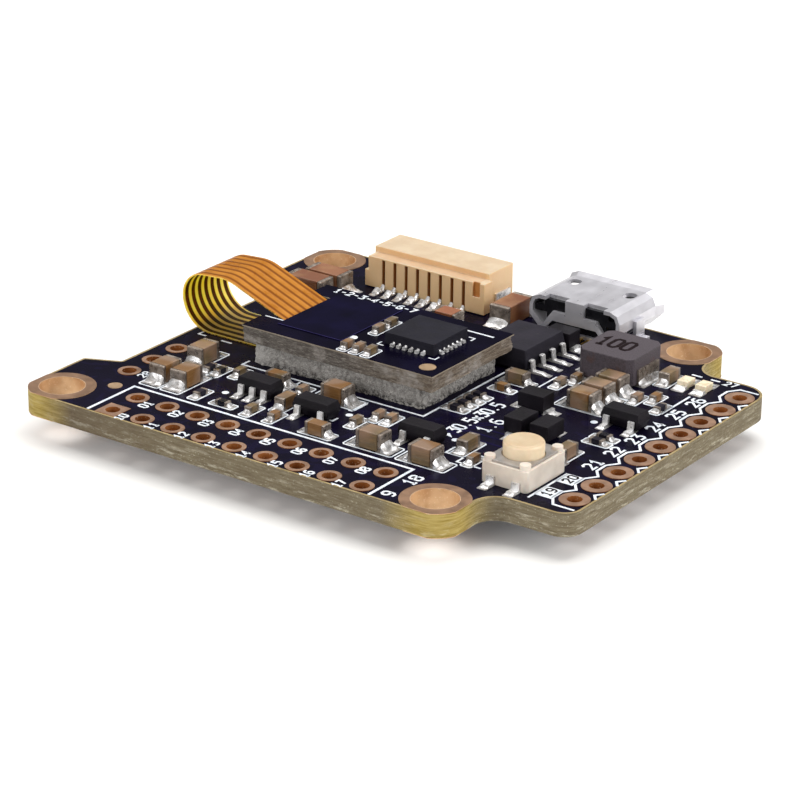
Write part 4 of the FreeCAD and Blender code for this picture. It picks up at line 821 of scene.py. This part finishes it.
each(PAINT, paint)

# How wide their edges are rounded, in millimetres.
SOFT_EDGES = {
    0.05: "main_pcb connector_housing transistor_leads transistor_bodies capacitor_0603_bodies "
          "diode_bodies mcu_body",
    0.06: "button_base capacitor_0603_terminals barometer_lid",
    0.1: "button_cap capacitor_0805_terminals capacitor_1206_terminals",
    0.03: "button_cover capacitor_0402_bodies resistor_terminals led_bases gyro_capacitor_bodies "
          "underside_capacitor_bodies",
    0.09: "inductor_core regulator_leads",
    0.04: "regulator_body led_lenses video_chip_body flash_chip_body crystal_lid",
    0.035: "capacitor_0402_terminals gyro_capacitor_terminals underside_capacitor_terminals",
    0.08: "capacitor_0805_bodies capacitor_1206_bodies",
    0.025: "gyro_chip_body",
}
each(SOFT_EDGES, soften)


# ---- solder and pads

# How far the solder reaches beyond each kind of chip, and how high it climbs.
CHIPS = {
    "capacitor_0402_bodies": (0.3, 0.32),
    "capacitor_0603_bodies": (0.42, 0.45),
    "capacitor_0805_bodies": (0.6, 0.62),
    "capacitor_1206_bodies": (0.7, 0.6),
    "resistor_bodies": (0.32, 0.26),
    "diode_bodies": (0.4, 0.12),
    "led_bases": (0.4, 0.2),
}
solder, pads = Shape(), Shape()


def join(parts, surface, reach, rise, beyond):
    """Solder and a pad at both ends of each part."""
    for _, along, ends in parts:
        for end, way in ends:
            fillet(solder, end, along, way, surface, reach, rise)
            pad(end, along, way, surface, reach + beyond)


def leads(name, package, reach, rise, foot=0.5, surface=UPPER, along=None):
    """A pad under each lead's foot, with solder at its toe."""
    for lead in solids(name):
        off = middle(lead) - middle(solids(package)[0])
        axis = longest(off) if along is None else along
        way = 1 if off[axis] > 0 else -1
        fillet(solder, lead, axis, way, surface, reach, rise, 0.04)
        pad(lead, axis, way, surface, reach + 0.1, foot, 0.05)


top_parts = {bodies: chip_parts(bodies) for bodies in CHIPS}
for bodies, (reach, rise) in CHIPS.items():
    join(top_parts[bodies], UPPER, reach, rise, 0.12)
leads("regulator_leads", "regulator_body", 0.5, 0.16, along=0)
leads("button_terminals", "button_base", 0.3, 0.16, along=1)
for pin in solids("connector_pins"):
    if pin.low.z > TOP + 0.1:
        continue
    toe = Box(pin.low + Vector((-0.17, 0.42, 0)), pin.high + Vector((0.17, 0, 0)))
    fillet(solder, toe, 1, -1, UPPER, 0.6, 0.4, 0.0)
    heel = Box(pin.low + Vector((-0.06, 1.1, 0)), pin.high + Vector((0.06, 0, 0)))
    fillet(solder, heel, 1, -1, UPPER, 0.6, 0.42, 0.1)
    pad(pin, 1, -1, UPPER, 0.35, 0.4, 0.14)
leads("inductor_terminals", "inductor_core", 0.35, 0.5, along=0)
for package in solids("transistor_bodies"):
    for lead in solids("transistor_leads"):
        off = middle(lead) - middle(package)
        if abs(off.x) < 1.6 and abs(off.y) < 1.8:
            way = 1 if off.y > 0 else -1
            fillet(solder, lead, 1, way, UPPER, 0.3, 0.2, 0.08)
            pad(lead, 1, way, UPPER, 0.36, 0.4, 0.1)
for chip in ("mcu", "video_chip", "flash_chip"):
    leads(f"{chip}_leads", f"{chip}_body", 0.2, 0.1, 0.3, UNDER)
under_parts = chip_parts("underside_capacitor_bodies")
join(under_parts, UNDER, 0.3, 0.32, 0.1)
solder.piece("solder_joints", ["solder"], "board", "tinned_metal", smooth=50)
pads.piece("solder_pads", ["tinned_pad"], "board", "tinned_metal")

gyro_parts = chip_parts("gyro_capacitor_bodies")
gyro_solder = Shape()
for _, along, ends in gyro_parts:
    for end, way in ends:
        fillet(gyro_solder, end, along, way, GYRO, 0.24, 0.26)
chip_centre = middle(solids("gyro_chip_body")[0])
for lead in solids("gyro_chip_pads"):
    off = middle(lead) - chip_centre
    along = longest(off)
    way = 1 if off[along] > 0 else -1
    (lead.high if way > 0 else lead.low)[along] -= way * 0.26
    fillet(gyro_solder, lead, along, way, GYRO, 0.3, 0.26, 0.03)
gyro_solder.piece("gyro_solder_joints", ["solder"], "gyro", "tinned_metal", smooth=50)


# ---- main board ink

ink = Shape()
for bodies in ("capacitor_0402_bodies", "capacitor_0603_bodies", "resistor_bodies"):
    frames(ink, top_parts[bodies])
frames(ink, top_parts["capacitor_0805_bodies"], reach=0.75)


def line(points, width=0.15, surface=UPPER, closed=False):
    ink.strip(points, width, *film(surface, INK), closed)


# The frame round the signal header, and the numbers beside its pads.
header = sorted(solids("signal_header_plating"), key=lambda b: (-round(b.low.y), b.low.x))
HEADER_FRAME = [(-11.35, -17.2), (-11.35, -12.4), (11.55, -12.4), (11.55, -17.2)]
line(HEADER_FRAME, 0.2)
for number, hole in enumerate(header, start=1):
    spot = middle(hole)
    if spot.x < 10:
        label(ink, f"{number:02d}", spot.x + 1.5, spot.y - 1.0, 0.66, 90, 0.8, 0.22, gap=0.38)
label(ink, "18", 12.9, -14.4, 0.85, 90, 0.9, 0.19)
label(ink, "9", 12.9, -16.6, 0.85, 90, 0.9, 0.19)

# The chain of lines round the pads at the side: x beside a pad, and between two.
BESIDE, BETWEEN = 20.95, 21.5
side_row = sorted((middle(b) for b in solids("side_row_plating")), key=lambda p: p.y)
last_y = side_row[-1].y
chain = [(23.05, -11.55), (BETWEEN, -11.55)]
for spot in side_row:
    chain += [(BESIDE, spot.y - 0.55), (BESIDE, spot.y + 0.5), (BETWEEN, spot.y + HALF_PITCH)]
chain[-1:] = [(BETWEEN, last_y + 1.3), (22.9, last_y + 1.3)]
line(chain, 0.17)
for spot in side_row[:-1]:
    line([(23.25, spot.y + 0.75), (22.85, spot.y + HALF_PITCH), (23.25, spot.y + 1.8)], 0.17)
for number, spot in enumerate(side_row, start=19):
    if number not in (19, 20, 27):
        label(ink, str(number), 20.65, spot.y - 0.55, 0.85, 90, 0.95, 0.2)
label(ink, "27", 20.1, last_y + 1.38, 0.66, 0, 0.8, 0.17, gap=0.36)
for low_y, high_y in ((-10.95, -9.5), (-8.5, -7.1)):
    ink.prism(rectangle(19.72, low_y, BESIDE, high_y), *film(UPPER, INK))
line([(19.7, -7.1), (19.7, -11.6)], 0.16)
cuts = Shape()
for text, low_y in (("19", -10.7), ("20", -8.25)):
    label(cuts, text, 20.65, low_y, 0.66, 90, 0.9, 0.2, (TOP + INK, 1), gap=0.5)

# The outline of the gyro board, corner marks and first-lead dots.
line([(-8.0, -4.2), (-8.0, -5.0), (7.1, -5.0), (7.1, 4.6)], 0.16)
for x, y in ((-5.8, -9.6), (3.1, -7.75), (16.6, 0.9), (11.0, -6.95)):
    ink.prism(ring(x, y, 0.25, 16), *film(UPPER, INK))
for points in (
        [(-2.9, -5.2), (-2.9, -6.9)],
        [(2.8, -5.3), (2.8, -7.1), (2.55, -7.1)],
        [(2.8, -8.6), (2.8, -9.2), (2.55, -9.2)],
        [(11.65, -7.9), (11.65, -8.95), (13.0, -8.95)],
        [(13.05, -9.0), (13.05, -9.75), (14.9, -9.75)],
        [(13.6, 1.95), (16.4, 1.95)],
        [(19.4, 4.7), (19.4, 8.4)],
        [(-8.9, -7.7), (-8.1, -7.7), (-8.1, -8.3)],
        [(-13.95, -1.6), (-13.95, -2.35), (-13.3, -2.35)],
        [(-11.9, -2.4), (-11.0, -2.4)]):
    line(points)
line([(17.5, 11.85), (18.3, 11.85)], 0.17)
line([(19.0, 11.85), (19.7, 11.85)], 0.17)
line([(10.4, 3.6), (10.4, 6.0)], 0.13)

# Numbers in place of the board's name, with an arrow to the front.
label(ink, "30.5x30.5", 10.45, -5.9, 0.95, 90, 0.72, 0.17, gap=0.3)
label(ink, "1.6", 11.95, -4.7, 0.95, 90, 0.85, 0.17, gap=0.4)
ink.prism([(10.6, -6.75), (10.1, -6.25), (9.75, -6.6)], *film(UPPER, INK))
label(ink, "28", -11.85, -10.85, 0.6, 90, 0.9, 0.2)

# The underside.
frames(ink, under_parts, UNDER)
for package in ("mcu_body", "video_chip_body", "flash_chip_body", "crystal_base", "barometer_base"):
    low, high = solids(package)[0]
    far = 0.5 if "base" in package else 1.5
    line(rectangle(low.x - far, low.y - far, high.x + far, high.y + far, 0.4), surface=UNDER, closed=True)
for number, hole in enumerate(header, start=1):
    spot = middle(hole)
    label(ink, f"{number:02d}", spot.x - 1.0, spot.y - 1.0, 0.68, 90, 0.85, 0.24, UNDER, gap=0.4)
line(HEADER_FRAME, 0.2, UNDER)
for number, spot in enumerate(side_row, start=19):
    label(ink, str(number), 20.0, spot.y - 0.55, 0.85, 90, 0.95, 0.2, UNDER)
ink.piece("screen_ink", ["screen_ink"], "board")
cuts.piece("pad_marking", ["ferrite_marking"], "board")

# Copper traces that stand proud under the mask: fans from the header and the side pads on both faces.
traces = Shape()


def trace(points, surface=UPPER):
    traces.strip(points, 0.2, *film(surface, 0.009))


for hole in header:
    spot = middle(hole)
    if spot.y < -15:
        trace([(spot.x, spot.y + 0.85), (spot.x + HALF_PITCH, spot.y + 2.12), (spot.x + HALF_PITCH, -12.6)],
              UNDER)
    else:
        aside = 0.25 * spot.x
        trace([(spot.x, spot.y + 0.85), (spot.x, -12.2), (spot.x - aside, -12.2 + abs(aside)),
               (spot.x - aside, -6.3)], UNDER)
for spot in side_row:
    trace([(spot.x - 1.05, spot.y), (18.6, spot.y), (17.2, spot.y * 0.8), (15.8, spot.y * 0.8)], UNDER)
for number in range(9):
    x = -13.2 + 1.1 * number
    trace([(x, 6.2), (x, 7.4 + 0.12 * number), (x + 1.0, 8.4 + 0.12 * number), (x + 1.0, 11.2)])
    trace([(x + 6.0, 6.8), (x + 6.0, 8.2), (x + 7.2, 9.4), (x + 7.2, 15.5)], UNDER)
for number in range(5):
    trace([(9.0 + 0.4 * number, -7.5 + 0.9 * number), (10.4 + 0.4 * number, -6.1 + 0.9 * number),
           (14.5, -6.1 + 0.9 * number)])
traces.piece("board_traces", ["mask_over_traces"], "board")


def board_outline(height, inset):
    """The board's outer edge at this height, as a closed line a little way in from it."""
    mesh = nodes["main_pcb"].data
    spots = [tuple(round(c / MM, 3) for c in v.co) for v in mesh.vertices]
    follow = {}
    for face in mesh.polygons:
        if abs(face.normal.z) > 0.5:
            continue
        corners = [spots[v] for v in face.vertices]
        for first, second in zip(corners, corners[1:] + corners[:1]):
            if first[2] == second[2] == height:
                follow[first] = second
    start = min(follow)
    edge, here = [Vector(start[:2])], follow[start]
    while here != start:
        edge.append(Vector(here[:2]))
        here = follow[here]
    moved = []
    for before, spot, after in zip(edge[-1:] + edge[:-1], edge, edge[1:] + edge[:1]):
        along = (after - spot).normalized() + (spot - before).normalized()
        moved.append(spot + Vector((along.y, -along.x)).normalized() * inset)
    return moved


# Bare laminate where the mask stops short of the board's edge.
bare = Shape()
bare.strip(board_outline(TOP, 0.09), 0.16, *film(UPPER, 0.006), closed=True)
bare.piece("bare_board_rim", ["laminate_rim"], "board")

# The snap dome under the button's cap, drawn in its rest shape; the real one flattens as the cap goes down.
DOME_THICK = 0.06
dome_low, dome_high = box_mm("button_dome")
dome_wide = (dome_high.x - dome_low.x) / 2 - 0.02
bulge = [(dome_wide * i / 8, (dome_high.z - dome_low.z - DOME_THICK) * (1 - (i / 8) ** 2)) for i in range(9)]
snap = Shape()
snap.lathe([(r, dome_low.z + DOME_THICK + z) for r, z in bulge]
           + [(r, dome_low.z + z) for r, z in reversed(bulge)],
           (dome_low.x + dome_high.x) / 2, (dome_low.y + dome_high.y) / 2)
snap_dome = snap.piece("snap_dome", ["dome_steel"], "board", "shell_steel", smooth=50)
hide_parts("button_dome")
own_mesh(snap_dome)

# The inductor's value.
mark = Shape()
core = solids("inductor_core")[0]
label(mark, "100", middle(core).x - 1.65, middle(core).y - 0.72, 1.5, 0, 0.66, 0.17,
      (core.high.z, 1), gap=0.3)
mark.piece("inductor_marking", ["ferrite_marking"], "board")


# ---- foam pad

def outward(a, b):
    run = Vector(b) - Vector(a)
    return Vector((run.y, -run.x)).normalized()


def loop(outline, step, clear):
    """Points a step apart round a closed outline, each with its way out. A corner moves with both
    its sides, and no other point comes nearer to it than clear."""
    places = []
    before = outline[-1:] + outline[:-1]
    for last, a, b in zip(before, outline, outline[1:] + outline[:1]):
        out = outward(a, b)
        run = Vector(b) - Vector(a)
        count = max(1, round(run.length / step))
        for i in range(count):
            along = run.length * i / count
            if i == 0:
                turn = outward(last, a)
                places.append((Vector(a), (out + turn) / (1 + out.dot(turn))))
            elif clear <= along <= run.length - clear:
                places.append((Vector(a) + run * i / count, out))
    return places


def wall(outline, step, low, high, levels, push, looks, clear):
    """A closed solid with a rough side: push gives how far each point stands out."""
    shape = Shape()
    places = loop(outline, step, clear)
    rings = []
    for level in range(levels + 1):
        z = low + (high - low) * level / levels
        moved = [spot + out * push(spot, z) for spot, out in places]
        rings.append([(spot.x, spot.y, z) for spot in moved])
    shape.tube(rings, looks=looks)
    return shape


foam_low, foam_high = box_mm("foam_pad")


def foam_push(spot, z):
    """A rough cut with a slight waist."""
    here = Vector((spot.x, spot.y, z))
    wide = noise.noise(here * 0.9) * 0.1
    fine = noise.noise(here * 5) * 0.08
    ragged = noise.noise(Vector((spot.x, spot.y, 0)) * 2.2) * 0.1
    waist = math.sin(math.pi * (z - foam_low.z) / (foam_high.z - foam_low.z))
    return -0.16 + wide + fine + ragged - 0.06 * waist


foam_outline = rectangle(foam_low.x, foam_low.y, foam_high.x, foam_high.y, 0.35)
foam = wall(foam_outline, 0.09, foam_low.z + 0.005, foam_high.z - 0.01, 16, foam_push, (0, 0), 0.16).piece(
    "foam_block", ["grey_foam"], "board", "foam_grey", smooth=60)
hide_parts("foam_pad")
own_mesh(foam)


# ---- gyro board

board_low, board_high = box_mm("gyro_pcb")
NOTCH_X, NOTCH_NEAR, NOTCH_FAR = -6.5, -2.15, 3.1
gyro_outline = [
    (board_low.x, board_low.y), (board_high.x, board_low.y), (board_high.x, board_high.y),
    (board_low.x, board_high.y), (board_low.x, NOTCH_FAR), (NOTCH_X, NOTCH_FAR),
    (NOTCH_X, NOTCH_NEAR), (board_low.x, NOTCH_NEAR)]


def gyro_push(spot, z):
    """Layers that stand in and out a little, most at the sawn lower half."""
    layer = noise.noise(Vector((spot.x * 0.6, spot.y * 0.6, z * 7))) * 0.09
    fibre = noise.noise(Vector((spot.x * 4, spot.y * 4, z * 12))) * 0.05
    nick = noise.noise(Vector((spot.x * 1.2, spot.y * 1.2, 7))) * 0.05
    rough = 1 if z < board_high.z - 0.1 else 0.15
    return -0.12 * rough + (layer + fibre + nick) * rough - 0.01


gyro_board = wall(gyro_outline, 0.12, board_low.z, board_high.z, 14, gyro_push, (0, 1), 0.36).piece(
    "gyro_board", ["gyro_mask", "gyro_board_side"], "gyro", "solder_mask", smooth=40)
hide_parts("gyro_pcb")

gyro_ink = Shape()


def gyro_line(points, width):
    gyro_ink.strip(points, width, *film(GYRO, INK))


gyro_line([(4.5, 3.74), (6.7, 3.74)], 0.16)
gyro_line([(board_low.x + 0.3, NOTCH_NEAR - 0.12), (NOTCH_X + 0.05, NOTCH_NEAR - 0.12)], 0.1)
label(gyro_ink, "1-2-3-4-5-6-7", -7.2, 4.25, 0.62, 0, 0.9, 0.2, GYRO, gap=0.4)
gyro_ink.prism(ring(-0.9, -1.95, 0.33), *film(GYRO, INK))
for x, y in ((1, 1), (-1, 1), (1, -1), (-1, -1)):
    corner_x, corner_y = chip_centre.x + x * 2.35, chip_centre.y + y * 2.35
    gyro_line([(corner_x - x * 0.5, corner_y), (corner_x, corner_y), (corner_x, corner_y - y * 0.5)], 0.1)
frames(gyro_ink, gyro_parts, GYRO, 0.24, 0.12, 0.09)
gyro_ink.piece("gyro_screen_ink", ["screen_ink"], "gyro")

# A painted highlight along the flex cover's front and right edges: a thin paler strip on its top.
rim = Shape()
cover_low, cover_high = box_mm("gyro_flex_cover")
rim.strip([(cover_low.x, cover_low.y + 0.03), (cover_high.x - 0.03, cover_low.y + 0.03),
           (cover_high.x - 0.03, cover_high.y)], 0.06, *film((cover_high.z, 1), 0.004))
rim.piece("gyro_cover_rim", ["cover_rim"], "gyro")

dot = Shape()
dot.prism(ring(6.2, -3.3, 0.575, 40), *film(GYRO, PAD))
dot.piece("gyro_fiducial", ["fiducial_copper"], "gyro", "copper")


# ---- flexible ribbon

RIBBON_THICK = 0.114
RIBBON_LIFT = 0.02


def ribbon_path():
    """Places along the ribbon's middle with its heading: along the board, up, over, and down again."""
    x, z, heading = -8.7, TOP + RIBBON_LIFT + RIBBON_THICK / 2, math.radians(180)
    places = [(x, z, heading)]

    def straight(length, count):
        nonlocal x, z
        for _ in range(count):
            x += length / count * math.cos(heading)
            z += length / count * math.sin(heading)
            places.append((x, z, heading))

    def bend(radius, degrees):
        nonlocal x, z, heading
        count = round(degrees / 4)
        centre_x, centre_z = x + radius * math.sin(heading), z - radius * math.cos(heading)
        for _ in range(count):
            heading -= math.radians(degrees) / count
            x, z = centre_x - radius * math.sin(heading), centre_z + radius * math.cos(heading)
            places.append((x, z, heading))

    straight(4.5, 12)
    bend(2.4, 90)
    bend(1.85, 86)
    straight(1.5, 5)
    bend(3.2, 25)
    straight((-6.54 - x) / math.cos(heading), 8)
    return places


def ribbon():
    """A film with seven conductors that stand slightly proud under it."""
    columns = [RIBBON_NEAR]
    for number in range(TRACES):
        centre = RIBBON_MIDDLE + (number - (TRACES - 1) / 2) * TRACE_PITCH
        columns += [centre - 0.24, centre - 0.18, centre, centre + 0.18, centre + 0.24]
    columns.append(RIBBON_FAR)
    groove = [0.014] + [0.014, 0.003, 0.0, 0.003, 0.014] * TRACES + [0.014]
    shape = Shape()
    places = ribbon_path()
    for face in (1, -1):
        for x, z, heading in places:
            for y, lower in zip(columns, groove):
                half = face * (RIBBON_THICK / 2 - lower)
                shape.points.append((x - math.sin(heading) * half, y, z + math.cos(heading) * half))
    count, total = len(columns), len(shape.points) // 2
    for a in range(total):
        across = a % count < count - 1
        along = a + count < total
        if across and along:
            quad = [a, a + 1, a + count + 1, a + count]
            shape.faces += [quad, [total + k for k in quad]]
            shape.looks += [0, 1]
        if along and a % count in (0, count - 1):
            shape.faces.append([a, a + count, total + a + count, total + a])
            shape.looks.append(2)
        if across and a // count in (0, len(places) - 1):
            shape.faces.append([a, a + 1, total + a + 1, total + a])
            shape.looks.append(2)
    made = shape.piece("ribbon_film", ["polyimide_outer", "polyimide_inner", "contact_gold"], None,
                       "polyimide", smooth=40)
    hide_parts("flex_ribbon")
    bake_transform(made)


ribbon()


# ---- floor, light and camera

def area(name, place, size, watts):
    """A soft lamp that faces the middle of the board."""
    lamp = bpy.data.lights.new(name, "AREA")
    lamp.shape = "RECTANGLE"
    lamp.size, lamp.size_y = size
    lamp.energy = watts
    made = placed(name, lamp)
    made.location = Vector(place)
    made.rotation_euler = (-Vector(place)).to_track_quat("-Z", "Y").to_euler()


FLOOR = cad_box[0].z / MM - 0.01
floor_shape = Shape()
floor_shape.add([(x, y, FLOOR) for x, y in rectangle(-4000, -4000, 4000, 4000)], [[0, 1, 2, 3]])
floor = floor_shape.piece("floor", ["studio_floor"], None)

area("key_softbox", (-0.06, 0.16, 0.6), (0.7, 0.6), 3.6)
area("side_softbox", (0.5, 0.15, 0.22), (0.35, 0.3), 1.8)
area("front_fill", (-0.1, -0.55, 0.22), (0.5, 0.3), 1.5)

world = bpy.data.worlds.new("studio")
scene.world = world
sky = Tree(world)
where = sky.node("TexCoord")
height = sky.node("SeparateXYZ", {0: where.outputs["Generated"]})
grey = sky.node("MapRange", {"Value": height.outputs[2], "From Min": 0.3, "From Max": 0.8,
                                       "To Min": 0.22, "To Max": 0.6})
light = sky.tree.nodes["Background"].inputs
sky.put(light["Strength"], grey.outputs[0])
sky.put(light["Color"], (1.0, 0.978, 0.95, 1.0))

camera = bpy.data.cameras.new("camera")
camera.lens = 142.2
camera.sensor_width = 36.0
camera.clip_start = 0.005
camera.clip_end = 20.0
seen = placed("camera", camera)
RIGHT = Vector((0.8127, 0.5827, 0.0091)).normalized()
FORWARD = Vector((-0.53485, 0.75196, -0.38534)).normalized()
ABOVE = RIGHT.cross(FORWARD)
seen.matrix_world = Matrix.Translation(Vector((116.45, -161.40, 82.44)) * MM) @ Matrix(
    (RIGHT, ABOVE, -FORWARD)).transposed().to_4x4()
scene.camera = seen
scene.view_settings.view_transform = "Standard"
